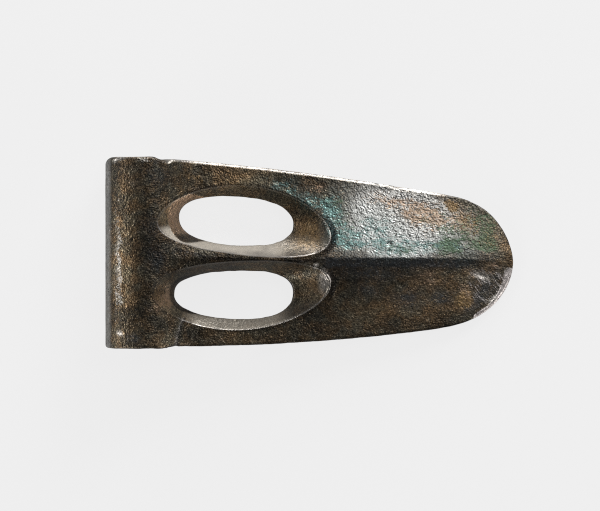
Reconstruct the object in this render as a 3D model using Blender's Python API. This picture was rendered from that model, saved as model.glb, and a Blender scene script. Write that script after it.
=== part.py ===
"""Socketed bronze axe head with two windows, cast in one piece and lying on its side.

The axe has a frame of its own. Its x runs from the back of the haft socket to the
cutting edge, y across the blade from the lower edge to the upper one, and z through
the thickness, with the middle plane at z = 0. An empty tips that frame until the
crown of the socket and the cutting edge both touch the ground, and puts the origin
at the middle of the footprint.
"""

from dataclasses import dataclass
from math import atan2, cos, pi, radians, sin, sqrt

import bmesh
import bpy
from mathutils import Matrix, Vector

MM = 0.001

# Overall form
LENGTH = 101.9 * MM
SOCKET_TOP = 23.8 * MM
SOCKET_BOTTOM = 23.9 * MM
RIDGE_OFFSET = -1.4 * MM

# Haft socket: an oval bore along y inside a tube with a rounded back
HAFT_DEPTH = 12.4 * MM
HAFT_WIDTH = 12.0 * MM
BACK_WALL = 2.4 * MM
SIDE_WALL = 3.0 * MM
FRONT_WALL = 2.4 * MM
CROWN_BACK = 11.0 * MM
UPPER_BACK_CORNER = 2.0 * MM
LOWER_BACK_CORNER = 0.9 * MM

# Web: the stretch where the tube's cheeks fall to the thin blade
FALL_LENGTH = 13.0 * MM
WEB_EDGE_HALF = 2.6 * MM
NOTCH_FROM_CROWN = 4.8 * MM
NOTCH_FALL = 3.5 * MM
NOTCH_RISE = 1.4 * MM
NOTCH_DEPTH = 0.8 * MM
LOWER_STEP_LENGTH = 2.0 * MM

# Blade: a ridge from the socket to the tip, with hollow flanks
RIDGE_TIP_HALF = 0.5 * MM
TIP_EDGE_HALF = 0.4 * MM
TIP_DROP = 1.05 * MM
FLANK_POWER = 1.6
EDGE_ROUND = 0.7 * MM

# Upper and lower edges: height where the web begins, slope, and bow over the length
SHOULDER_FROM_CROWN = 6.2 * MM
UPPER_SHOULDER = 23.25 * MM
UPPER_SLOPE = -0.0796
UPPER_BOW = -0.00075 / MM
LOWER_SHOULDER = 23.4 * MM
LOWER_SLOPE = 0.0027
LOWER_BOW = -0.00104 / MM

# Nose: how far back from the tip each edge begins to round, and its two powers
UPPER_NOSE = 18.1 * MM
UPPER_NOSE_POWERS = (3.27, 1.667)
LOWER_NOSE = 23.9 * MM
LOWER_NOSE_POWERS = (3.61, 1.839)

# What the two windows share
BRIDGE = 6.4 * MM
CREST_WIDTH = 1.3 * MM
SOCKET_FLARE = 5.4 * MM
RAMP = 9.6 * MM
SOCKET_END_CURL = 2.2
CUTTER_OVERSHOOT = 4.0 * MM

# How finely the curves are divided
BACK_STEPS = 9
NOTCH_STEPS = 4
WEB_STEPS = 6
BLADE_STEPS = 13
NOSE_STEPS = 14
OVAL_STEPS = 60
BORE_STEPS = 48
FIRST_BACK_ANGLE = radians(6)
LAST_NOSE_ANGLE = radians(87.5)
FLANK_STATIONS = (0.0, 0.025, 0.07, 0.13, 0.21, 0.31, 0.43, 0.57, 0.71, 0.86, 1.0)
WALL_LEVELS = (0.0, 0.3, 0.55, 0.75, 0.9, 1.0)

SOCKET_HALF = HAFT_WIDTH / 2 + SIDE_WALL
FALL_END = CROWN_BACK + FALL_LENGTH
SHOULDER = CROWN_BACK + SHOULDER_FROM_CROWN
TIP_HEIGHT = RIDGE_OFFSET - TIP_DROP
BORE_MIDDLE = BACK_WALL + HAFT_DEPTH / 2
WEB_START = BACK_WALL + HAFT_DEPTH + FRONT_WALL


@dataclass(frozen=True)
class Window:
    """An oval window, narrowest at the middle plane and flared towards both faces.

    Distances named inner and outer run from the ridge line outwards, and side is 1
    above the ridge and -1 below it. Slant turns an oval, bow lifts its middle and
    swell makes its tip end taller than its socket end.
    """

    name: str
    side: int
    setback: float
    length: float
    band: float
    band_flare: float
    hole_power: float
    hole_slant: float
    hole_bow: float
    hole_swell: float
    rim_slant: float
    rim_bow: float
    rim_swell: float


UPPER_WINDOW = Window(
    name="upper_window_cutter",
    side=1,
    setback=1.2 * MM,
    length=28.5 * MM,
    band=7.9 * MM,
    band_flare=2.9 * MM,
    hole_power=2.36,
    hole_slant=-0.061,
    hole_bow=0.0,
    hole_swell=0.0,
    rim_slant=-0.081,
    rim_bow=2.4 * MM,
    rim_swell=0.07,
)
LOWER_WINDOW = Window(
    name="lower_window_cutter",
    side=-1,
    setback=0.0,
    length=29.7 * MM,
    band=6.6 * MM,
    band_flare=2.8 * MM,
    hole_power=2.36,
    hole_slant=0.0,
    hole_bow=0.4 * MM,
    hole_swell=0.1,
    rim_slant=-0.044,
    rim_bow=2.1 * MM,
    rim_swell=0.0,
)


def blend(start, end, share):
    """Value a share of the way from start to end."""
    return start + (end - start) * share


def clear_scene():
    """Removes every object that the file opened with."""
    for item in list(bpy.data.objects):
        bpy.data.objects.remove(item, do_unlink=True)


def bronze():
    """Dark olive-brown bronze with an old, half-matt skin."""
    material = bpy.data.materials.new("aged_bronze")
    material.use_nodes = True
    shader = material.node_tree.nodes["Principled BSDF"]
    shader.inputs["Base Color"].default_value = (0.16, 0.125, 0.085, 1.0)
    shader.inputs["Metallic"].default_value = 0.75
    shader.inputs["Roughness"].default_value = 0.45
    material.diffuse_color = (0.16, 0.125, 0.085, 1.0)
    return material


def crown_half(x):
    """Half thickness on the ridge line: an elliptic back, then a straight fall to the tip."""
    if x < CROWN_BACK:
        return SOCKET_HALF * sqrt(1 - ((CROWN_BACK - x) / CROWN_BACK) ** 2)
    return blend(SOCKET_HALF, RIDGE_TIP_HALF, (x - CROWN_BACK) / (LENGTH - CROWN_BACK))


def edge_half(x):
    """Half thickness at the blade's edges: the cheeks fall in a cosine, then taper evenly."""
    if x < CROWN_BACK:
        return crown_half(x)
    if x < FALL_END:
        share = (x - CROWN_BACK) / FALL_LENGTH
        return blend(WEB_EDGE_HALF, SOCKET_HALF, (1 + cos(pi * share)) / 2)
    return blend(WEB_EDGE_HALF, TIP_EDGE_HALF, (x - FALL_END) / (LENGTH - FALL_END))


def back_corner(x, radius):
    """How far a rounded back corner draws the socket's end in at x."""
    if x >= radius:
        return 0.0
    return radius - sqrt(radius**2 - (radius - x) ** 2)


def long_edge(x, shoulder, slope, bow, nose, powers, tip):
    """Distance of a long edge from y = 0: a shallow parabola that a nose draws in to the tip."""
    run = x - SHOULDER
    straight = shoulder + slope * run + bow * run**2
    turn = min(max((x - LENGTH + nose) / nose, 0.0), 1.0)
    return tip + (straight - tip) * (1 - turn ** powers[0]) ** (1 / powers[1])


def upper_edge(x):
    """The upper outline: socket end, notch, long edge and nose."""
    if x < SHOULDER:
        notch_at = CROWN_BACK + NOTCH_FROM_CROWN
        notch_floor = UPPER_SHOULDER - NOTCH_DEPTH
        if x <= notch_at - NOTCH_FALL:
            return SOCKET_TOP - back_corner(x, UPPER_BACK_CORNER)
        if x <= notch_at:
            return blend(notch_floor, SOCKET_TOP, (notch_at - x) / NOTCH_FALL)
        return blend(notch_floor, UPPER_SHOULDER, min((x - notch_at) / NOTCH_RISE, 1.0))
    return long_edge(
        x, UPPER_SHOULDER, UPPER_SLOPE, UPPER_BOW, UPPER_NOSE, UPPER_NOSE_POWERS, TIP_HEIGHT
    )


def lower_edge(x):
    """The lower outline: socket end, a low step, long edge and nose."""
    if x < SHOULDER:
        step_start = SHOULDER - LOWER_STEP_LENGTH
        if x <= step_start:
            return -SOCKET_BOTTOM + back_corner(x, LOWER_BACK_CORNER)
        return -blend(SOCKET_BOTTOM, LOWER_SHOULDER, (x - step_start) / LOWER_STEP_LENGTH)
    return -long_edge(
        x, LOWER_SHOULDER, LOWER_SLOPE, LOWER_BOW, LOWER_NOSE, LOWER_NOSE_POWERS, -TIP_HEIGHT
    )


def ridge_line(x):
    """The ridge's y: straight, then easing down to the tip over the lower nose."""
    turn = min(max((x - LENGTH + LOWER_NOSE) / LOWER_NOSE, 0.0), 1.0)
    return RIDGE_OFFSET - TIP_DROP * turn**2


def face_half(x, y):
    """Half thickness of the uncut body at a point: hollow flanks from ridge to edges."""
    ridge = ridge_line(x)
    reach = upper_edge(x) - ridge if y > ridge else ridge - lower_edge(x)
    share = min(abs(y - ridge) / max(reach, MM * 0.01), 1.0)
    return blend(edge_half(x), crown_half(x), (1 - share) ** FLANK_POWER)


def stations():
    """The x of each section: close at the back, the notch, the web and the nose."""
    back = []
    for i in range(BACK_STEPS + 1):
        angle = blend(FIRST_BACK_ANGLE, pi / 2, i / BACK_STEPS)
        back.append(CROWN_BACK * (1 - cos(angle)))
    notch_at = CROWN_BACK + NOTCH_FROM_CROWN
    fall = [notch_at - NOTCH_FALL * (1 - i / NOTCH_STEPS) for i in range(NOTCH_STEPS + 1)]
    web = [blend(SHOULDER, FALL_END, i / WEB_STEPS) for i in range(WEB_STEPS + 1)]
    nose_start = LENGTH - LOWER_NOSE
    blade = [blend(FALL_END, nose_start, i / BLADE_STEPS) for i in range(1, BLADE_STEPS + 1)]
    nose = []
    for i in range(1, NOSE_STEPS + 1):
        nose.append(nose_start + LOWER_NOSE * sin(LAST_NOSE_ANGLE * i / NOSE_STEPS))
    return sorted(back + fall + web + blade + nose)


def section(x):
    """One closed ring round the body at x, with rounded upper and lower edges."""
    top, bottom, ridge, edge = upper_edge(x), lower_edge(x), ridge_line(x), edge_half(x)
    rounding = min(EDGE_ROUND, 0.45 * edge, 0.3 * (top - bottom))
    upper = [blend(ridge, top - rounding, share) for share in FLANK_STATIONS]
    lower = [blend(ridge, bottom + rounding, share) for share in FLANK_STATIONS[:0:-1]]
    front = [Vector((x, y, face_half(x, y))) for y in lower + upper]
    side = edge - rounding
    slant = rounding * (1 - sqrt(0.5))
    corner = [Vector((x, top - slant, edge - slant)), Vector((x, top, side))]
    foot = [Vector((x, bottom, side)), Vector((x, bottom + slant, edge - slant))]
    half_ring = foot + front + corner
    mirrored = [Vector((point.x, point.y, -point.z)) for point in reversed(half_ring)]
    return half_ring + mirrored


def oval_point(middle, half, angle, power, slant, bow, swell):
    """Point of a superellipse that is slanted, bowed and swollen, as (x, outward)."""
    across, up = cos(angle), sin(angle)
    across = abs(across) ** (2 / power) * (1 if across > 0 else -1)
    up = abs(up) ** (2 / power) * (1 if up > 0 else -1)
    x = half[0] * across
    outward = half[1] * up * (1 + swell * across) + slant * x + bow * (1 - across**2)
    return middle[0] + x, middle[1] + outward


def window_rings(window):
    """Rings of a window's cutter, from behind the far face to in front of the near one."""
    start = WEB_START + window.setback
    middle_x = start + window.length / 2
    if window.side > 0:
        outline = upper_edge(middle_x) - RIDGE_OFFSET
    else:
        outline = RIDGE_OFFSET - lower_edge(middle_x)
    hole_outer = outline - window.band
    hole_inner = BRIDGE / 2
    hole_middle = (middle_x, (hole_outer + hole_inner) / 2 - window.hole_bow)
    hole_half = (window.length / 2, (hole_outer - hole_inner) / 2)
    rim_outer = hole_outer + window.band_flare
    rim_inner = CREST_WIDTH / 2
    rim_start, rim_end = start - SOCKET_FLARE, start + window.length + RAMP
    rim_middle = ((rim_start + rim_end) / 2, (rim_outer + rim_inner) / 2 - window.rim_bow)
    rim_half = ((rim_end - rim_start) / 2, (rim_outer - rim_inner) / 2)
    walls = []
    for i in range(OVAL_STEPS):
        angle = 2 * pi * i / OVAL_STEPS
        hole = oval_point(
            hole_middle,
            hole_half,
            angle,
            window.hole_power,
            window.hole_slant,
            window.hole_bow,
            window.hole_swell,
        )
        rim = oval_point(
            rim_middle, rim_half, angle, 2.0, window.rim_slant, window.rim_bow, window.rim_swell
        )
        walls.append(wall_profile(window, hole, rim, angle))
    outer = [list(ring) for ring in zip(*walls)]
    mirrored = [[Vector((p.x, p.y, -p.z)) for p in ring] for ring in reversed(outer[1:])]
    return mirrored + outer


def wall_profile(window, hole, rim, angle):
    """Points up one wall: steep out of the hole at the socket end, an even ramp at the tip end."""
    foot = Vector((hole[0], RIDGE_OFFSET + window.side * hole[1], 0.0))
    top = Vector((rim[0], RIDGE_OFFSET + window.side * rim[1], 0.0))
    height = face_half(top.x, top.y)
    curl = 1 + SOCKET_END_CURL * max(-cos(angle), 0.0) ** 2
    points = []
    for level in WALL_LEVELS:
        point = foot.lerp(top, level**curl)
        point.z = height * level
        points.append(point)
    beyond = top + (top - foot).normalized() * EDGE_ROUND
    beyond.z = SOCKET_HALF + CUTTER_OVERSHOOT
    points.append(beyond)
    return points


def loft(name, rings, collection):
    """Joins closed rings of equal counts, in order, into one closed object with end caps."""
    mesh = bmesh.new()
    rows = [[mesh.verts.new(point) for point in ring] for ring in rings]
    for first, second in zip(rows, rows[1:]):
        for i, corner in enumerate(first):
            j = (i + 1) % len(first)
            mesh.faces.new((corner, first[j], second[j], second[i]))
    mesh.faces.new(rows[0])
    mesh.faces.new(rows[-1])
    bmesh.ops.recalc_face_normals(mesh, faces=mesh.faces)
    bmesh.ops.triangulate(mesh, faces=mesh.faces)
    data = bpy.data.meshes.new(name)
    mesh.to_mesh(data)
    mesh.free()
    item = bpy.data.objects.new(name, data)
    collection.objects.link(item)
    return item


def bore_rings():
    """Rings of the haft bore's cutter, an oval prism along y that runs past both ends."""
    rings = []
    for y in (-SOCKET_BOTTOM - CUTTER_OVERSHOOT, SOCKET_TOP + CUTTER_OVERSHOOT):
        ring = []
        for i in range(BORE_STEPS):
            angle = 2 * pi * (i + 0.5) / BORE_STEPS
            x = BORE_MIDDLE + HAFT_DEPTH / 2 * cos(angle)
            ring.append(Vector((x, y, HAFT_WIDTH / 2 * sin(angle))))
        rings.append(ring)
    return rings


def cut(body, cutter):
    """Takes the cutter's shape out of the body with a Boolean modifier."""
    cutter.hide_render = True
    cutter.display_type = "WIRE"
    modifier = body.modifiers.new(cutter.name, "BOOLEAN")
    modifier.operation = "DIFFERENCE"
    modifier.solver = "EXACT"
    modifier.object = cutter


def resting_place(rings):
    """The pitch that lays the crown and the tip on the ground, and the frame's place then."""
    pitch = atan2(SOCKET_HALF - RIDGE_TIP_HALF, LENGTH - CROWN_BACK)
    turned = [Matrix.Rotation(pitch, 3, "Y") @ point for ring in rings for point in ring]
    lows = [min(point[axis] for point in turned) for axis in range(3)]
    highs = [max(point[axis] for point in turned) for axis in range(3)]
    place = Vector((-(lows[0] + highs[0]) / 2, -(lows[1] + highs[1]) / 2, -lows[2]))
    return pitch, place


def build():
    """Makes the axe head and its cutters, and lays them down."""
    clear_scene()
    collection = bpy.context.scene.collection
    rings = [section(x) for x in stations()]
    pitch, place = resting_place(rings)
    axe_frame = bpy.data.objects.new("axe_frame", None)
    collection.objects.link(axe_frame)
    axe_frame.rotation_euler = (0.0, pitch, 0.0)
    axe_frame.location = place

    head = loft("axe_head", rings, collection)
    head.data.materials.append(bronze())
    cutters = [loft("haft_bore_cutter", bore_rings(), collection)]
    for window in (UPPER_WINDOW, LOWER_WINDOW):
        cutters.append(loft(window.name, window_rings(window), collection))
    for item in [head, *cutters]:
        item.parent = axe_frame
    for cutter in cutters:
        cut(head, cutter)
    head.data.shade_smooth()
    head.data.set_sharp_from_angle(angle=radians(35))


build()
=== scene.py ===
"""Old cast-bronze axe head with two windows, lying on a pale floor and seen from above.

The head is one piece, built as numpy surfaces in the axe's own frame, in
millimetres: x runs from the back of the haft socket to the cutting edge, y across
the blade and z through its thickness, with the middle plane at z = 0. The finished
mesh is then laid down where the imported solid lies.
"""

import logging
import math
from collections.abc import Sequence
from dataclasses import dataclass, field
from enum import Enum

import bmesh
import bpy
import numpy as np
from mathutils import Matrix, Vector


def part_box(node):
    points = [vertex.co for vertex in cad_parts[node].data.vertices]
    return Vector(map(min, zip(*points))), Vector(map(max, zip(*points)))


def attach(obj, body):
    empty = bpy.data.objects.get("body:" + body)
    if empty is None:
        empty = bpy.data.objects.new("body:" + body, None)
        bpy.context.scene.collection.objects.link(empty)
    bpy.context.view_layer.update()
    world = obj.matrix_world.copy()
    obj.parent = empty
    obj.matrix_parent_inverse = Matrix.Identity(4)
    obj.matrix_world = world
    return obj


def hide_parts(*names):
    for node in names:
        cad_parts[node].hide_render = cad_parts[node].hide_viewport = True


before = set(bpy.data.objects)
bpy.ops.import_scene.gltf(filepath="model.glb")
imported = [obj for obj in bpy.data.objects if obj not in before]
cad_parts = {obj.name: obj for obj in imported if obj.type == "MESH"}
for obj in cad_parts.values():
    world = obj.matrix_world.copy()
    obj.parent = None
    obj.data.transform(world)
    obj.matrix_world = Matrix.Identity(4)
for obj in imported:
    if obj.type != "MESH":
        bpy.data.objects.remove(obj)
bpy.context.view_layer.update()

Array = np.ndarray
Span = tuple[float, float]
Line = Sequence[tuple[float, float]]
Colour = tuple[float, float, float, float]
Socket = bpy.types.NodeSocket

MM = 0.001
WHITE: Colour = (1.0, 1.0, 1.0, 1.0)
LOG = logging.getLogger("axe_head")

# Marks that tell the walls of the windows and the haft bore from the rest
WALL_MARK = 1.0
BORE_MARK = 2.0
WALL_FROM = 0.3
WALL_UP_TO = 1.5

# Each noise layer has half the size of the last, and this share of its height
NOISE_LAYERS = 2
LAYER_SHARE = 0.55


class Side(Enum):
    """The half of the axe above the ridge line, or the half below it."""

    UPPER = 1
    LOWER = -1


class Face(Enum):
    """The face turned up to the viewer, or the one turned to the floor."""

    FRONT = 1
    BACK = -1


def blend(start: Array, end: Array, share: Array) -> Array:
    """Values a share of the way from start to end."""
    return start + (end - start) * share


def rise(span: Span, value: Array) -> Array:
    """0 below the span, 1 above it, with an S-shaped cubic between."""
    share = np.clip((value - span[0]) / (span[1] - span[0]), 0.0, 1.0)
    return share * share * (3.0 - 2.0 * share)


def fall(span: Span, value: Array) -> Array:
    """1 below the span, 0 above it, with the same cubic between."""
    return 1.0 - rise(span, value)


def on_wall(marks: Array) -> Array:
    """Whether each point lies on the wall of a window."""
    return (marks > WALL_FROM) & (marks < WALL_UP_TO)


def soft_lower(first: Array, second: Array, width: Array) -> Array:
    """Lower of two heights, rounded off where they differ by less than width.

    The rounding is a parabola: half the width below the crossing at most a quarter.

    Args:
        first: heights of one surface.
        second: heights of the other.
        width: difference in height at which the rounding begins.

    Returns:
        The joined heights.
    """
    safe = np.maximum(width, 1e-6)
    share = np.clip(0.5 + 0.5 * (second - first) / safe, 0.0, 1.0)
    return blend(second, first, share) - safe * share * (1.0 - share)


def cell_random(cells: Array, seed: int) -> Array:
    """Repeatable number from -1 to 1 for each whole-number cell, by mixing its digits.

    Args:
        cells: whole numbers, with the last axis x, y, z.
        seed: whole number that picks the pattern.

    Returns:
        One number per cell.
    """
    mixed = cells[..., 0] * 374761393 + cells[..., 1] * 668265263 + cells[..., 2] * 1440662683
    mixed = (mixed + seed * 974634777) & 0xFFFFFFFF
    mixed = ((mixed ^ (mixed >> 13)) * 1274126177) & 0xFFFFFFFF
    return ((mixed ^ (mixed >> 16)) & 0xFFFF) / 32767.5 - 1.0


def lattice_noise(points: Array, size: float, seed: int) -> Array:
    """Smooth noise from -1 to 1: random lattice values joined by cubic easing.

    Args:
        points: places, with the last axis x, y, z.
        size: distance between lattice points.
        seed: whole number that picks the pattern.

    Returns:
        One value per point.
    """
    place = points / size
    corner = np.floor(place).astype(np.int64)
    share = rise((0.0, 1.0), place - corner)
    total = np.zeros(points.shape[:-1])
    for step in np.ndindex(2, 2, 2):
        offset = np.array(step)
        weight = np.prod(np.where(offset == 1, share, 1.0 - share), axis=-1)
        total += weight * cell_random(corner + offset, seed)
    return total


def layered_noise(points: Array, size: float, seed: int) -> Array:
    """Sum of noise layers, each half the size and just over half the height of the last."""
    layers = range(NOISE_LAYERS)
    return sum(LAYER_SHARE**i * lattice_noise(points, size / 2**i, seed + 17 * i) for i in layers)


def line_distance(points: Array, line: Line) -> Array:
    """Distance in x and y from each point to a line of straight stretches.

    Args:
        points: places, one row each.
        line: the ends of the stretches, as x, y pairs.

    Returns:
        The distance to the nearest stretch.
    """
    nearest = np.full(len(points), 1e9)
    for (ax, ay), (bx, by) in zip(line[:-1], line[1:]):
        way = np.array([bx - ax, by - ay])
        from_start = points[:, :2] - np.array([ax, ay])
        share = np.clip(from_start @ way / (way @ way), 0.0, 1.0)
        nearest = np.minimum(nearest, np.linalg.norm(from_start - share[:, None] * way, axis=-1))
    return nearest


@dataclass(frozen=True)
class AxeForm:
    """Main form of the head in its own frame, with all sizes in millimetres."""

    length: float = 101.9
    socket_top: float = 23.8
    socket_bottom: float = 23.9
    ridge_offset: float = -1.4
    haft_depth: float = 12.4
    haft_width: float = 12.0
    back_wall: float = 2.4
    side_wall: float = 3.0
    front_wall: float = 2.4
    crown_back: float = 11.0
    upper_back_corner: float = 2.0
    lower_back_corner: float = 0.9
    fall_length: float = 13.0
    web_edge_half: float = 2.6
    notch_from_crown: float = 4.8
    notch_fall: float = 3.5
    notch_rise: float = 1.4
    notch_depth: float = 0.8
    lower_step_length: float = 2.0
    shoulder_from_crown: float = 6.2
    ridge_tip_half: float = 0.5
    tip_edge_half: float = 0.4
    tip_drop: float = 1.05
    web_flank_power: float = 2.1
    blade_flank_power: float = 1.35
    crest_round: float = 0.75
    edge_round: float = 0.7
    upper_shoulder: float = 23.25
    upper_slope: float = -0.0796
    upper_bow: float = -0.00075
    lower_shoulder: float = 23.4
    lower_slope: float = 0.0027
    lower_bow: float = -0.00104
    upper_nose: float = 18.1
    upper_nose_powers: Span = (3.27, 1.667)
    lower_nose: float = 23.9
    lower_nose_powers: Span = (3.61, 1.839)
    power_change: Span = (30.0, 66.0)
    least_reach: float = 0.05
    back_thinning: float = 2.5
    thinning_power: float = 0.75
    rounded_share: float = 0.45
    turn_from: float = 3.0
    turn_to: float = 25.0
    slope_step: float = 0.01
    line_step: float = 1e-4

    @property
    def socket_half(self) -> float:
        """Half thickness of the socket tube at its crown."""
        return self.haft_width / 2 + self.side_wall

    @property
    def shoulder(self) -> float:
        """Where the web's long edges begin."""
        return self.crown_back + self.shoulder_from_crown

    @property
    def bore_middle(self) -> float:
        """Middle of the haft bore."""
        return self.back_wall + self.haft_depth / 2

    @property
    def web_start(self) -> float:
        """Where the first window may begin, in front of the socket's wall."""
        return self.back_wall + self.haft_depth + self.front_wall

    @property
    def tip_height(self) -> float:
        """The y of the foremost point."""
        return self.ridge_offset - self.tip_drop

    def pitch(self) -> float:
        """Angle that lays the crown and the tip on the floor, in radians."""
        return math.atan2(self.socket_half - self.ridge_tip_half, self.length - self.crown_back)

    def crown_half(self, x: Array) -> Array:
        """Half thickness on the ridge line: an elliptic back, then a straight fall.

        Args:
            x: places along the axe.

        Returns:
            Half thicknesses.
        """
        back = np.clip((self.crown_back - x) / self.crown_back, 0.0, 1.0)
        ahead = np.clip((x - self.crown_back) / (self.length - self.crown_back), 0.0, 1.0)
        fall = blend(self.socket_half, self.ridge_tip_half, ahead)
        return np.where(x < self.crown_back, self.socket_half * np.sqrt(1.0 - back**2), fall)

    def edge_half(self, x: Array) -> Array:
        """Half thickness at the long edges: a cosine fall of the cheeks, then an even taper.

        Args:
            x: places along the axe.

        Returns:
            Half thicknesses.
        """
        fall = np.clip((x - self.crown_back) / self.fall_length, 0.0, 1.0)
        cheek = blend(self.web_edge_half, self.socket_half, (1.0 + np.cos(np.pi * fall)) / 2)
        fall_end = self.crown_back + self.fall_length
        ahead = np.clip((x - fall_end) / (self.length - fall_end), 0.0, 1.0)
        taper = blend(self.web_edge_half, self.tip_edge_half, ahead)
        front = np.where(x < fall_end, cheek, taper)
        return np.where(x < self.crown_back, self.crown_half(x), front)

    def section_normal(self, x: Array) -> Array:
        """Outward normal, as x, y, z, of the edge profile of x against half thickness.

        Args:
            x: places along the axe.

        Returns:
            Unit normals.
        """
        step = self.slope_step
        slope = (self.edge_half(x + step) - self.edge_half(x - step)) / (2 * step)
        ahead = np.stack([-slope, np.zeros_like(x), np.ones_like(x)], axis=-1)
        back = np.stack(
            [
                -(self.crown_back - x) / self.crown_back**2,
                np.zeros_like(x),
                self.crown_half(x) / self.socket_half**2,
            ],
            axis=-1,
        )
        normal = np.where((x < self.crown_back)[..., None], back, ahead)
        return normal / np.linalg.norm(normal, axis=-1, keepdims=True)

    def _corner(self, x: Array, radius: float) -> Array:
        """How far a rounded back corner draws the socket's end in."""
        inside = np.clip(radius - x, 0.0, radius)
        return radius - np.sqrt(radius**2 - inside**2)

    def _long_edge(
        self, x: Array, shape: tuple[float, float, float], nose: float, powers: Span, tip: float
    ) -> Array:
        """Shallow parabola that a superelliptic nose draws in to the tip.

        Args:
            x: places along the axe.
            shape: height, slope and bow of the parabola at the shoulder.
            nose: how far back from the tip the rounding begins.
            powers: inner and outer power of the superellipse.
            tip: height of the foremost point.

        Returns:
            Heights of the edge.
        """
        run = x - self.shoulder
        straight = shape[0] + shape[1] * run + shape[2] * run**2
        turn = np.clip((x - self.length + nose) / nose, 0.0, 1.0)
        return tip + (straight - tip) * (1.0 - turn ** powers[0]) ** (1.0 / powers[1])

    def edge(self, side: Side, x: Array) -> Array:
        """The outline's y at x, on the upper or lower side.

        Args:
            side: upper or lower.
            x: places along the axe.

        Returns:
            Heights of the outline.
        """
        if side is Side.UPPER:
            notch_at = self.crown_back + self.notch_from_crown
            floor = self.upper_shoulder - self.notch_depth
            into = np.clip((x - notch_at) / self.notch_fall + 1.0, 0.0, 1.0)
            out = np.clip((x - notch_at) / self.notch_rise, 0.0, 1.0)
            web = blend(blend(self.socket_top, floor, into), self.upper_shoulder, out)
            web = web - self._corner(x, self.upper_back_corner)
            shape = (self.upper_shoulder, self.upper_slope, self.upper_bow)
            nose = (self.upper_nose, self.upper_nose_powers)
        else:
            step = np.clip((x - self.shoulder) / self.lower_step_length + 1.0, 0.0, 1.0)
            web = blend(self.socket_bottom, self.lower_shoulder, step)
            web = web - self._corner(x, self.lower_back_corner)
            shape = (self.lower_shoulder, self.lower_slope, self.lower_bow)
            nose = (self.lower_nose, self.lower_nose_powers)
        long_edge = self._long_edge(x, shape, *nose, side.value * self.tip_height)
        return side.value * np.where(x < self.shoulder, web, long_edge)

    def ridge(self, x: Array) -> Array:
        """The ridge's y: straight, then easing down to the tip."""
        turn = np.clip((x - self.length + self.lower_nose) / self.lower_nose, 0.0, 1.0)
        return self.ridge_offset - self.tip_drop * turn**2

    def half(self, x: Array, y: Array) -> Array:
        """Half thickness of the uncut body: hollow flanks from a rounded crest to the edges.

        Args:
            x: places along the axe.
            y: places across it.

        Returns:
            Half thicknesses.
        """
        ridge = self.ridge(x)
        above = self.edge(Side.UPPER, x) - ridge
        below = ridge - self.edge(Side.LOWER, x)
        reach = np.maximum(np.where(y > ridge, above, below), self.least_reach)
        away = np.sqrt((y - ridge) ** 2 + self.crest_round**2) - self.crest_round
        share = np.clip(away / reach, 0.0, 1.0)
        edge = self.edge_half(x)
        power = blend(self.web_flank_power, self.blade_flank_power, rise(self.power_change, x))
        return blend(edge, self.crown_half(x), (1.0 - share) ** power)

    def rounding(self, x: Array) -> Array:
        """Radius of the rounded edges, which shrinks where the metal is thin."""
        wanted = self.edge_round * np.clip(x / self.back_thinning, 0.0, 1.0) ** self.thinning_power
        return np.minimum(wanted, self.rounded_share * self.edge_half(x))

    def rim_line(self, side: Side, x: Array) -> tuple[Array, Array, Array]:
        """The outline, the way it faces and the line where its rounding begins.

        Near the socket the edge faces straight along y, and towards the nose it
        faces along the outline's own normal.

        Args:
            side: upper or lower outline.
            x: places along the outline.

        Returns:
            Outline points, outward directions and inset points, each as x, y pairs.
        """
        step = self.line_step
        before, after = np.maximum(x - step, 0.0), np.minimum(x + step, self.length)
        slope = (self.edge(side, after) - self.edge(side, before)) / np.maximum(after - before, 1e-9)
        true_way = np.stack([-slope * side.value, np.ones_like(x)], axis=-1)
        true_way /= np.linalg.norm(true_way, axis=-1, keepdims=True)
        turning = (self.shoulder + self.turn_from, self.shoulder + self.turn_to)
        turned = rise(turning, x)[..., None]
        way = blend(np.array([0.0, 1.0]), true_way, turned)
        way /= np.linalg.norm(way, axis=-1, keepdims=True)
        way[..., 1] *= side.value
        line = np.stack([x, self.edge(side, x)], axis=-1)
        at_tip = x >= self.length - 1e-9
        way[at_tip] = (1.0, 0.0)
        return line, way, line - way * self.rounding(x)[..., None]


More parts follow.
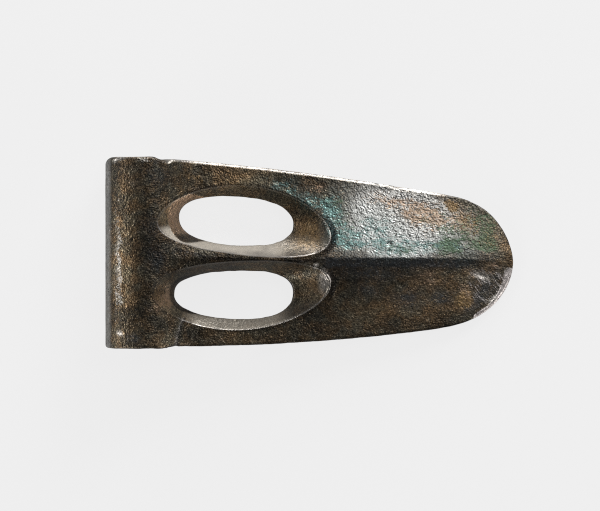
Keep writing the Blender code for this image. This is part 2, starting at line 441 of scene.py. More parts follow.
@dataclass(frozen=True)
class Window:
    """Oval window, narrowest at the middle plane and flared towards both faces.

    Outward distances run from the ridge line towards the nearer long edge.
    """

    side: Side
    setback: float
    length: float
    band: float
    band_flare: float
    hole_slant: float
    hole_bow: float
    hole_swell: float
    rim_slant: float
    rim_bow: float
    rim_swell: float
    bridge: float = 6.4
    crest_width: float = 1.3
    socket_flare: float = 5.4
    ramp: float = 9.6
    hole_power: float = 2.36
    socket_end_curl: float = 0.5
    rim_soft: float = 0.12
    socket_end_soft: float = 0.08
    lip: float = 0.4
    lip_reach: float = 1.6
    rim_stretches: int = 90
    crescent_tail: float = 7.5
    crescent_ease: float = 0.2
    bright_from: float = 12.0

    @property
    def hole_bends(self) -> tuple[float, float, float]:
        """Slant, bow and swell of the hole."""
        return self.hole_slant, self.hole_bow, self.hole_swell

    @property
    def rim_bends(self) -> tuple[float, float, float]:
        """Slant, bow and swell of the rim."""
        return self.rim_slant, self.rim_bow, self.rim_swell

    def _ovals(self, form: AxeForm) -> tuple[tuple[float, ...], tuple[float, ...]]:
        """Middle and half lengths, across and outward, of the hole and of the rim.

        Args:
            form: the axe's form.

        Returns:
            The hole and the rim, each as middle x, middle outward and two half lengths.
        """
        start = form.web_start + self.setback
        middle = start + self.length / 2
        outline = abs(float(form.edge(self.side, np.array(middle))) - form.ridge_offset)
        hole_outer, hole_inner = outline - self.band, self.bridge / 2
        rim_outer, rim_inner = hole_outer + self.band_flare, self.crest_width / 2
        rim_start, rim_end = start - self.socket_flare, start + self.length + self.ramp
        hole = (
            middle,
            (hole_outer + hole_inner) / 2 - self.hole_bow,
            self.length / 2,
            (hole_outer - hole_inner) / 2,
        )
        rim = (
            (rim_start + rim_end) / 2,
            (rim_outer + rim_inner) / 2 - self.rim_bow,
            (rim_end - rim_start) / 2,
            (rim_outer - rim_inner) / 2,
        )
        return hole, rim

    def _oval(
        self, form: AxeForm, oval: tuple[float, ...], angle: Array, power: float,
        bends: tuple[float, float, float],
    ) -> Array:
        """Superellipse |a|^n + |b|^n = 1, slanted, bowed and swollen.

        Args:
            form: the axe's form, for its ridge line.
            oval: middle and half lengths.
            angle: angles round it, from the tip end outwards.
            power: the superellipse's power n.
            bends: slant, bow and swell.

        Returns:
            Points as x, y pairs.
        """
        across = np.sign(np.cos(angle)) * np.abs(np.cos(angle)) ** (2 / power)
        up = np.sign(np.sin(angle)) * np.abs(np.sin(angle)) ** (2 / power)
        x = oval[2] * across
        outward = oval[3] * up * (1 + bends[2] * across) + bends[0] * x + bends[1] * (1 - across**2)
        y = form.ridge_offset + self.side.value * (oval[1] + outward)
        return np.stack([oval[0] + x, y], axis=-1)

    def lines(self, form: AxeForm, outer: Array) -> tuple[Array, Array, Array]:
        """Rim and hole points that face each point of a line round the window.

        Args:
            form: the axe's form.
            outer: x, y points of a closed line round the window.

        Returns:
            Angles, rim points and hole points.
        """
        hole, rim = self._ovals(form)
        outward = self.side.value * (outer[..., 1] - form.ridge_offset) - rim[1] - self.rim_bow / 2
        angle = np.arctan2(outward / rim[3], (outer[..., 0] - rim[0]) / rim[2])
        rim_line = self._oval(form, rim, angle, 2.0, self.rim_bends)
        hole_line = self._oval(form, hole, angle, self.hole_power, self.hole_bends)
        return angle, rim_line, hole_line

    def rim_gap(self, form: AxeForm, points: Array) -> Array:
        """Distance in x and y from each point to the rim, measured to its nearest stretch."""
        turns = np.linspace(0.0, 2 * np.pi, self.rim_stretches + 1)
        line = self._oval(form, self._ovals(form)[1], turns, 2.0, self.rim_bends)
        return line_distance(points, line)

    def crescent(self, form: AxeForm, points: Array, width: float) -> Array:
        """Crisp band along the hole at the socket end, a width across and tapering to both tails.

        Args:
            form: the axe's form.
            points: places in the axe's frame.
            width: the band's width in millimetres where it is widest.

        Returns:
            One weight per point.
        """
        hole, ease = self._ovals(form)[0], self.crescent_ease
        turns = np.linspace(0.0, 2 * np.pi, self.rim_stretches + 1)
        line = self._oval(form, hole, turns, self.hole_power, self.hole_bends)
        start = hole[0] - hole[2]
        reach = width * fall((start, start + self.crescent_tail), points[:, 0])
        return fall((reach - ease, reach + ease), line_distance(points, line))

    def rim_end(self, form: AxeForm) -> float:
        """The rim's end nearest the tip."""
        return form.web_start + self.setback + self.length + self.ramp


UPPER_WINDOW = Window(
    side=Side.UPPER, setback=1.2, length=28.5, band=7.9, band_flare=2.9,
    hole_slant=-0.061, hole_bow=0.0, hole_swell=0.0,
    rim_slant=-0.081, rim_bow=2.4, rim_swell=0.07,
)
LOWER_WINDOW = Window(
    side=Side.LOWER, setback=0.0, length=29.7, band=6.6, band_flare=2.8,
    hole_slant=0.0, hole_bow=0.4, hole_swell=0.1, bright_from=19.0,
    rim_slant=-0.044, rim_bow=2.1, rim_swell=0.0,
)


@dataclass
class Casting:
    """The head's whole skin as grids that share their border points.

    Each grid is an array of rows and columns of x, y, z and a wall mark, which is
    1 on the window walls, 2 in the haft bore and 0 elsewhere.
    """

    form: AxeForm = AxeForm()
    windows: tuple[Window, Window] = (UPPER_WINDOW, LOWER_WINDOW)
    back_cells: int = 36
    across_cells: int = 54
    window_cells: int = 108
    blade_cells: int = 86
    outside_cells: int = 13
    wall_cells: int = 22
    round_cells: int = 3
    side_cells: int = 4
    end_cells: int = 5
    bore_cells: int = 60
    mouth_round: float = 0.4
    window_margin: float = 1.4
    corner_back: float = 6.0
    crowding: float = 0.4
    arc_samples: int = 4001
    outside_power: float = 1.4
    wall_power: float = 1.15
    lip_power: float = 1.5
    lip_begins: Span = (0.0, 0.5)
    mark_begins: Span = (0.0, 0.12)
    weld_places: float = 1e4
    grids: list[Array] = field(default_factory=list)

    def build(self) -> tuple[Array, Array, Array]:
        """Makes every grid and joins them.

        Returns:
            Points, triangles and each point's wall mark.
        """
        for window in self.windows:
            side = window.side
            for face in Face:
                self._add(self._socket_back(side), face)
                self._add(self._window_field(window), face)
                self._add(self._blade(side), face)
                self._add(self._rounded_edge(side), face)
            self._add(self._edge_side(side), Face.FRONT)
            self._add(self._socket_end(side), Face.FRONT)
        self._add(self._bore(), Face.FRONT)
        return self._weld()

    def _add(self, grid: Array, face: Face) -> None:
        """Keeps a grid, mirrored in the middle plane for the back face."""
        grid = grid.copy()
        grid[..., 2] *= face.value
        self.grids.append(grid)

    def _across(self) -> Array:
        """Shares from ridge to edge: u - c sin(2 pi u) / 2 pi, closer at both ends."""
        u = np.linspace(0.0, 1.0, self.across_cells + 1)
        return u - self.crowding * np.sin(2 * np.pi * u) / (2 * np.pi)

    def _back_x(self) -> Array:
        """The tube's back stations, evenly turned round its ellipse."""
        turn = np.linspace(0.0, np.pi / 2, self.back_cells + 1)
        return self.form.crown_back * (1.0 - np.cos(turn))

    def _window_x(self) -> Array:
        """Stations along the stretch that holds the windows."""
        end = max(window.rim_end(self.form) for window in self.windows) + self.window_margin
        return np.linspace(self.form.crown_back, end, self.window_cells + 1)

    def _nose_x(self, side: Side) -> tuple[Array, Array]:
        """Stations at even arc length: along the blade's edge, and round its nose to the tip.

        Args:
            side: upper or lower edge.

        Returns:
            The x of the stations along the edge, and of those round the nose.
        """
        start, length = self._window_x()[-1], self.form.length
        turn = np.linspace(0.0, np.pi / 2, self.arc_samples)
        dense = blend(start, length, np.sin(turn))
        path = np.stack([dense, self.form.edge(side, dense)], axis=-1)
        arc = np.concatenate([[0.0], np.cumsum(np.linalg.norm(np.diff(path, axis=0), axis=-1))])
        corner = np.interp(length - self.corner_back, dense, arc)
        along = np.interp(np.linspace(0.0, corner, self.blade_cells + 1), arc, dense)
        to_tip = blend(arc[-1], corner, self._across())
        round_nose = np.interp(to_tip[::-1], arc, dense)
        along[0], round_nose[0], round_nose[-1] = start, along[-1], length
        return along, round_nose

    def _column(self, side: Side, x: float) -> Array:
        """Line across one half at x, from the ridge to the start of the edge's rounding."""
        inset = self.form.rim_line(side, np.array([x]))[2][0]
        ridge = np.array([x, float(self.form.ridge(np.array(x)))])
        return blend(ridge, inset, self._across()[:, None])

    def _lift(self, flat: Array, mark: Array | float = 0.0) -> Array:
        """Raises x, y points to the uncut face."""
        z = self.form.half(flat[..., 0], flat[..., 1])
        return np.stack([flat[..., 0], flat[..., 1], z, np.zeros_like(z) + mark], axis=-1)

    def _socket_back(self, side: Side) -> Array:
        """The tube's rounded back: an ellipse in x and z, carried across from ridge to edge.

        Args:
            side: the half to make.

        Returns:
            The grid.
        """
        x = self._back_x()
        inset = self.form.rim_line(side, x)[2]
        ridge = np.stack([x, self.form.ridge(x)], axis=-1)
        flat = blend(ridge[:, None], inset[:, None], self._across()[None, :, None])
        return self._lift(flat)

    def _window_field(self, window: Window) -> Array:
        """Grid of rays from a frame round the window, over its rim and down its wall.

        Outside the rim the grid lies on the face. The wall stands at height h times s
        over the point that is s to a power of the way from hole to rim. The two are
        joined by a rounded lower envelope, softest at the socket end.

        Args:
            window: the window.

        Returns:
            The grid, one row for each ray.
        """
        form, side = self.form, window.side
        x = self._window_x()
        ridge = np.stack([x, form.ridge(x)], axis=-1)
        sides = [
            self._column(side, x[0])[:-1],
            form.rim_line(side, x)[2][:-1],
            self._column(side, x[-1])[::-1][:-1],
            ridge[::-1],
        ]
        outer = np.concatenate(sides)
        angle, rim, hole = window.lines(form, outer)
        socket_end = np.clip(-np.cos(angle), 0.0, 1.0) ** 2
        lip = window.lip * np.clip(np.cos(angle), 0.0, 1.0) ** self.lip_power
        power = 1.0 + window.socket_end_curl * socket_end
        soft = window.rim_soft + window.socket_end_soft * socket_end
        rim_height = form.half(rim[..., 0], rim[..., 1]) + lip
        flare = np.linalg.norm(rim - hole, axis=-1)

        u = np.linspace(0.0, 1.0, self.outside_cells + 1)
        share = 1.0 - (1.0 - u) ** self.outside_power
        flat = blend(outer[:, None], rim[:, None], share[None, :, None])
        beyond = np.linalg.norm(flat - rim[:, None], axis=-1)
        steep = (rim_height / (power * flare))[:, None]
        fade = np.minimum(1.0, 2.0 * share)[None, :]
        face = form.half(flat[..., 0], flat[..., 1])
        raised = lip[:, None] * np.exp(-((beyond / window.lip_reach) ** 2))
        face += raised * rise(self.lip_begins, share)
        height = soft_lower(face, rim_height[:, None] + steep * beyond, soft[:, None] * fade)
        height[:, 0] = face[:, 0]
        outside = np.concatenate([flat, height[..., None], np.zeros_like(height)[..., None]], axis=-1)

        v = np.linspace(0.0, 1.0, self.wall_cells + 1)[1:]
        level = 1.0 - v**self.wall_power
        flat = blend(hole[:, None], rim[:, None], (level[None, :] ** power[:, None])[..., None])
        face = form.half(flat[..., 0], flat[..., 1]) + lip[:, None]
        height = soft_lower(face, rim_height[:, None] * level[None, :], soft[:, None])
        height[:, -1] = 0.0
        mark = np.zeros_like(height) + WALL_MARK * rise(self.mark_begins, 1.0 - level)
        wall = np.concatenate([flat, height[..., None], mark[..., None]], axis=-1)
        return np.concatenate([outside, wall], axis=1)

    def _blade(self, side: Side) -> Array:
        """Half of the blade: a patch blended between its four border lines.

        Each point is the sum of the two straight blends between opposite borders,
        less the blend of the four corners.

        Args:
            side: the half to make.

        Returns:
            The grid, with rows along the blade and columns from ridge to edge.
        """
        form = self.form
        along, round_nose = self._nose_x(side)
        top = form.rim_line(side, along)[2]
        right = form.rim_line(side, round_nose)[2][::-1]
        left = self._column(side, along[0])
        ridge_x = blend(along[0], right[0, 0], np.linspace(0.0, 1.0, self.blade_cells + 1))
        bottom = np.stack([ridge_x, form.ridge(ridge_x)], axis=-1)
        bottom[-1], top[0] = right[0], left[-1]
        u = np.linspace(0.0, 1.0, self.blade_cells + 1)[:, None, None]
        v = self._across()[None, :, None]
        flat = blend(bottom[:, None], top[:, None], v) + blend(left[None], right[None], u)
        flat -= blend(blend(bottom[0], bottom[-1], u), blend(top[0], top[-1], u), v)
        return self._lift(flat)

    def _edge_x(self, side: Side) -> Array:
        """Stations of the whole outline, from the tube's back to the tip."""
        along, round_nose = self._nose_x(side)
        return np.concatenate([self._back_x(), self._window_x()[1:], along[1:], round_nose[1:]])

    def _end_columns(self) -> int:
        """How many stations of the outline belong to the socket's flat end."""
        return int(np.searchsorted(self._edge_x(Side.UPPER), self.form.shoulder)) + 1

    def _rounded_edge(self, side: Side) -> Array:
        """Quarter circle from the face over to the edge, carried along the outline.

        Args:
            side: upper or lower edge.

        Returns:
            The grid, one row for each station.
        """
        form = self.form
        x = self._edge_x(side)
        _, way, inset = form.rim_line(side, x)
        normal = form.section_normal(x)
        turn = np.linspace(0.0, np.pi / 2, self.round_cells + 1)[None, :, None]
        radius = form.rounding(x)[:, None, None]
        outward = np.concatenate([way, np.zeros_like(way[:, :1])], axis=-1)[:, None]
        start = self._lift(inset)[:, None, :3]
        drop = radius * (1.0 - np.cos(turn))
        points = start + outward * radius * np.sin(turn) - normal[:, None] * drop
        return np.concatenate([points, np.zeros_like(points[..., :1])], axis=-1)

    def _edge_side(self, side: Side) -> Array:
        """The flat of the edge between the two roundings, from the shoulder to the tip.

        Args:
            side: upper or lower edge.

        Returns:
            The grid.
        """
        lip = self._rounded_edge(side)[self._end_columns() - 1 :, -1]
        share = np.linspace(1.0, -1.0, self.side_cells + 1)[None, :]
        grid = np.repeat(lip[:, None], self.side_cells + 1, axis=1)
        grid[..., 2] = lip[:, None, 2] * share
        return grid

    def _end_loop(self, side: Side) -> Array:
        """Closed line round the socket's end: front lip, shoulder, and back lip in reverse."""
        lip = self._rounded_edge(side)[: self._end_columns(), -1, :3]
        shoulder = self._edge_side(side)[0, 1:-1, :3]
        mirrored = lip[::-1] * np.array([1.0, 1.0, -1.0])
        return np.concatenate([lip, shoulder, mirrored])

    def _bore_angle(self) -> Array:
        """Angle round the bore that faces each point of the end's line."""
        form = self.form
        loop = self._end_loop(Side.UPPER)
        across = (loop[:, 0] - form.bore_middle) / form.haft_depth
        return np.arctan2(loop[:, 2] / form.haft_width, across)

    def _bore_ring(self, side: Side, grown: float, sunk: float) -> Array:
        """Oval ring of the bore, widened by grown and set sunk below the socket's end.

        Args:
            side: upper or lower end.
            grown: how much wider than the bore, in millimetres.
            sunk: how far inside the end.

        Returns:
            Points of the ring.
        """
        form, angle = self.form, self._bore_angle()
        x = form.bore_middle + (form.haft_depth / 2 + grown) * np.cos(angle)
        z = (form.haft_width / 2 + grown) * np.sin(angle)
        y = form.edge(side, x) - side.value * sunk
        return np.stack([x, y, z], axis=-1)

    def _socket_end(self, side: Side) -> Array:
        """Flat end of the tube, ruled from its lip to the bore's mouth."""
        loop, mouth = self._end_loop(side), self._bore_ring(side, self.mouth_round, 0.0)
        share = np.linspace(0.0, 1.0, self.end_cells + 1)[None, :, None]
        points = blend(loop[:, None], mouth[:, None], share)
        return np.concatenate([points, np.zeros_like(points[..., :1])], axis=-1)

    def _bore(self) -> Array:
        """Oval bore with a quarter-round mouth at both ends.

        Returns:
            The grid, one row for each angle.
        """
        turn = np.linspace(0.0, np.pi / 2, self.round_cells + 1)
        grown, sunk = self.mouth_round * (1 - np.sin(turn)), self.mouth_round * (1 - np.cos(turn))
        top, bottom = ([self._bore_ring(side, *at) for at in zip(grown, sunk)] for side in Side)
        shares = np.linspace(0.0, 1.0, self.bore_cells + 1)[1:-1]
        straight = [blend(top[-1], bottom[-1], share) for share in shares]
        points = np.stack([*top, *straight, *bottom[::-1]], axis=1)
        return np.concatenate([points, np.full_like(points[..., :1], BORE_MARK)], axis=-1)

    def _weld(self) -> tuple[Array, Array, Array]:
        """Joins the grids where their border points meet, and splits cells on the short diagonal.

        Returns:
            Points, triangles and marks.
        """
        points, quads, start = [], [], 0
        for grid in self.grids:
            rows, columns = grid.shape[:2]
            index = start + np.arange(rows * columns).reshape(rows, columns)
            corners = (index[:-1, :-1], index[1:, :-1], index[1:, 1:], index[:-1, 1:])
            quads.append(np.stack(corners, axis=-1).reshape(-1, 4))
            points.append(grid.reshape(-1, 4))
            start += rows * columns
        soup, cells = np.concatenate(points), np.concatenate(quads)
        keys = np.round(soup[:, :3] * self.weld_places).astype(np.int64)
        _, first, inverse = np.unique(keys, axis=0, return_index=True, return_inverse=True)
        cells = inverse.reshape(-1)[cells]
        kept = soup[first]
        gaps = kept[cells[:, [0, 1]], :3] - kept[cells[:, [2, 3]], :3]
        spans = np.linalg.norm(gaps, axis=-1)
        short = (spans[:, 0] <= spans[:, 1])[:, None]
        one = np.where(short, cells[:, [0, 1, 2]], cells[:, [0, 1, 3]])
        two = np.where(short, cells[:, [0, 2, 3]], cells[:, [1, 2, 3]])
        triangles = np.concatenate([one, two])
        whole = (
            (triangles[:, 0] != triangles[:, 1])
            & (triangles[:, 1] != triangles[:, 2])
            & (triangles[:, 0] != triangles[:, 2])
        )
        return kept[:, :3], triangles[whole], kept[:, 3]


@dataclass(frozen=True)
class Spot:
    """A place on the upward face: x, y, reach along and across, turn in degrees, strength."""

    x: float
    y: float
    along: float
    across: float
    turn: float
    strength: float

    def weight(self, points: Array) -> Array:
        """Strength times an elliptical bump that falls off as (1 - d squared) squared.

        Args:
            points: places in the axe's frame.

        Returns:
            One weight per point, 0 outside the ellipse and on the downward face.
        """
        turn = math.radians(self.turn)
        east, north = points[:, 0] - self.x, points[:, 1] - self.y
        along = (east * math.cos(turn) + north * math.sin(turn)) / self.along
        across = (north * math.cos(turn) - east * math.sin(turn)) / self.across
        inside = np.clip(1.0 - along**2 - across**2, 0.0, 1.0)
        return self.strength * inside**2 * (points[:, 2] > 0.0)


def spots(*rows: tuple[float, ...]) -> tuple[Spot, ...]:
    """One spot for each row of its six values."""
    return tuple(Spot(*row) for row in rows)


@dataclass(frozen=True)
class Stretch:
    """A stretch along the axe: where it fades in, and where it fades out."""

    begins: Span
    ends: Span

    def share(self, x: Array) -> Array:
        """1 on the stretch and 0 off it, with eased ends."""
        return rise(self.begins, x) * fall(self.ends, x)


@dataclass(frozen=True)
class Waves:
    """Unevenness of one size in millimetres: its height and its pattern."""

    size: float
    height: float
    seed: int

    def height_at(self, points: Array) -> Array:
        """Height of the waves at each point."""
        return self.height * layered_noise(points, self.size, self.seed)


@dataclass(frozen=True)
class Pits:
    """Round pits strewn one to a cell, in a share of the cells."""

    spacing: float
    radius: float
    share: float
    depth: float
    seed: int
    jitter: float = 0.35
    size_spread: float = 0.35

    def depth_at(self, points: Array) -> Array:
        """Depth of the deepest pit at each point.

        Each pit is a squared cosine bowl round a random point of its cell.

        Args:
            points: places, with the last axis x, y, z.

        Returns:
            One depth per point.
        """
        cell = np.floor(points / self.spacing).astype(np.int64)
        deepest = np.zeros(points.shape[:-1])
        for step in np.ndindex(3, 3, 3):
            near = cell + np.array(step) - 1
            moved = np.stack([cell_random(near, self.seed + axis) for axis in range(3)], axis=-1)
            centre = (near + 0.5 + self.jitter * moved) * self.spacing
            spread = self.size_spread * cell_random(near, self.seed + 5)
            reach = self.radius * (1.0 - self.size_spread + spread)
            away = np.linalg.norm(points - centre, axis=-1) / reach
            bowl = np.cos(np.clip(away, 0.0, 1.0) * math.pi / 2) ** 2
            there = cell_random(near, self.seed + 7) < 2.0 * self.share - 1.0
            deepest = np.maximum(deepest, np.where(there, bowl, 0.0))
        return self.depth * deepest


@dataclass(frozen=True)
class Relief:
    """Casting skin, corrosion and damage, as moves of the surface along its normal."""

    form: AxeForm = AxeForm()
    waves: tuple[Waves, ...] = (Waves(8.0, 0.05, 3), Waves(1.5, 0.035, 11))
    pits: tuple[Pits, ...] = (Pits(3.4, 1.15, 0.32, 0.13, 23), Pits(1.7, 0.75, 0.30, 0.078, 29))
    wall_roughness: float = 0.45
    back_shift: float = 211.0
    nose_stretch: float = 16.0
    chips: Waves = Waves(1.7, 1.0, 41)
    chip: float = 0.28
    chip_floor: float = 0.05
    chip_zone: Span = (0.2, 1.6)
    chip_least: float = 0.35
    ragged: Stretch = Stretch((66.0, 71.0), (84.0, 89.0))
    crack_depth: float = 0.28
    crack_width: float = 0.5
    crack: Line = ((19.5, -16.3), (18.6, -18.6), (17.9, -21.0), (17.7, -24.2))
    wobble: Waves = Waves(1.9, 0.07, 53)
    wobble_zone: Span = (0.4, 1.3)
    thick: float = 1.2
    thin_share: float = 0.35
    bore_share: float = 0.5
    bevel: Line = ((93.2, -16.2), (96.2, -14.2), (98.6, -11.4), (100.2, -8.2), (101.0, -5.0))
    bevel_depth: float = 0.26
    bevel_slope: Span = (0.0, 1.4)
    bevel_zone: Span = (0.9, 1.9)
    bevel_side: Span = (0.2, 0.8)
    least_half: float = 0.1
    holes: tuple[Spot, ...] = spots(
        (43.1, 17.8, 0.95, 0.95, 0, 0.35), (66.4, 12.9, 0.8, 0.8, 0, 0.25),
        (70.9, 2.1, 0.8, 0.8, 0, 0.25), (73.6, -7.9, 0.8, 0.7, 0, 0.25),
        (50.4, 18.9, 0.6, 0.6, 0, 0.3), (20.6, -21.3, 0.7, 0.5, 0, 0.3),
        (21.9, -21.4, 0.7, 0.45, 0, 0.3), (46.9, 19.6, 0.7, 0.5, 0, 0.25),
        (30.6, 13.5, 0.6, 0.9, 0, 0.3), (32.6, -16.6, 0.7, 0.9, 0, 0.3),
    )

    def outline_gap(self, points: Array) -> Array:
        """Rough distance inwards from the outline, upper or lower, whichever is nearer.

        Args:
            points: places in the axe's frame.

        Returns:
            One distance per point.
        """
        x = np.clip(points[:, 0], 0.0, self.form.length)
        upper = self.form.edge(Side.UPPER, x) - points[:, 1]
        lower = points[:, 1] - self.form.edge(Side.LOWER, x)
        slack = np.minimum(upper, lower)
        ahead = self.form.length - x
        round_nose = np.minimum(slack, np.sqrt(np.abs(slack * ahead) + 1e-9))
        return np.where(ahead < self.nose_stretch, round_nose, slack)

    def depth(self, points: Array, marks: Array) -> Array:
        """Height of the relief above the plain form at each point, in millimetres.

        Waves are noise and pits are bowls, calmer on the windows' walls. The crack is
        a V-shaped groove. Chips are noise above a threshold close to the edge. All of
        it shrinks where the metal is thin. The bevel is a slope down to the edge.

        Args:
            points: places in the axe's frame.
            marks: wall marks.

        Returns:
            Heights along the normal.
        """
        x, y, z = points.T
        front = z > 0.0
        own = points + np.where(points[:, 2:] < 0.0, self.back_shift, 0.0)
        gap = self.outline_gap(points)
        half = self.form.half(np.clip(x, 0.0, self.form.length), y)

        rough = blend(self.wall_roughness, 1.0, np.clip(1.0 - marks, 0.0, 1.0))
        height = sum(rough * waves.height_at(own) for waves in self.waves)
        height -= sum(rough * pits.depth_at(own) for pits in self.pits)
        ragged = self.chip_least + self.ragged.share(x) * (y > 0)
        chips = np.clip(self.chips.height_at(own) - self.chip_floor, 0.0, 1.0)
        height -= self.chip * ragged * fall(self.chip_zone, gap) * chips
        crack = np.clip(1.0 - line_distance(points, self.crack) / self.crack_width, 0.0, 1.0)
        height -= self.crack_depth * crack * front
        edge_of_hole = on_wall(marks) * fall(self.wobble_zone, np.abs(z))
        height += edge_of_hole * self.wobble.height_at(points)
        height -= sum(hole.weight(points) for hole in self.holes)
        height *= np.clip(half / self.thick, self.thin_share, 1.0)
        height *= np.where(marks > WALL_UP_TO, self.bore_share, 1.0)

        honed = fall(self.bevel_zone, line_distance(points, self.bevel))
        honed *= rise(self.bevel_side, z / np.maximum(half, self.least_half))
        return height - self.bevel_depth * honed * fall(self.bevel_slope, gap)


class Patina(Enum):
    """Patches of the skin, painted shade and highlights among them, each with the mask and channel that
    carry its weight.
    """

    TEAL = ("cool", 0)
    GREEN = ("cool", 1)
    SLATE = ("cool", 2)
    PALE = ("cool", 3)
    COPPER = ("warm", 0)
    OCHRE = ("warm", 1)
    WORN = ("warm", 2)
    # Painted sheen on window walls that face up towards the light
    FILM = ("warm", 3)
    SHADE = ("tone", 0)
    GOLD = ("tone", 1)
    GLEAM = ("tone", 2)
    SCRATCH = ("tone", 3)
    HOLLOW = ("form", 0)
    BEVEL = ("form", 1)
    SATIN = ("form", 2)


MASKS = ("cool", "warm", "tone", "form")

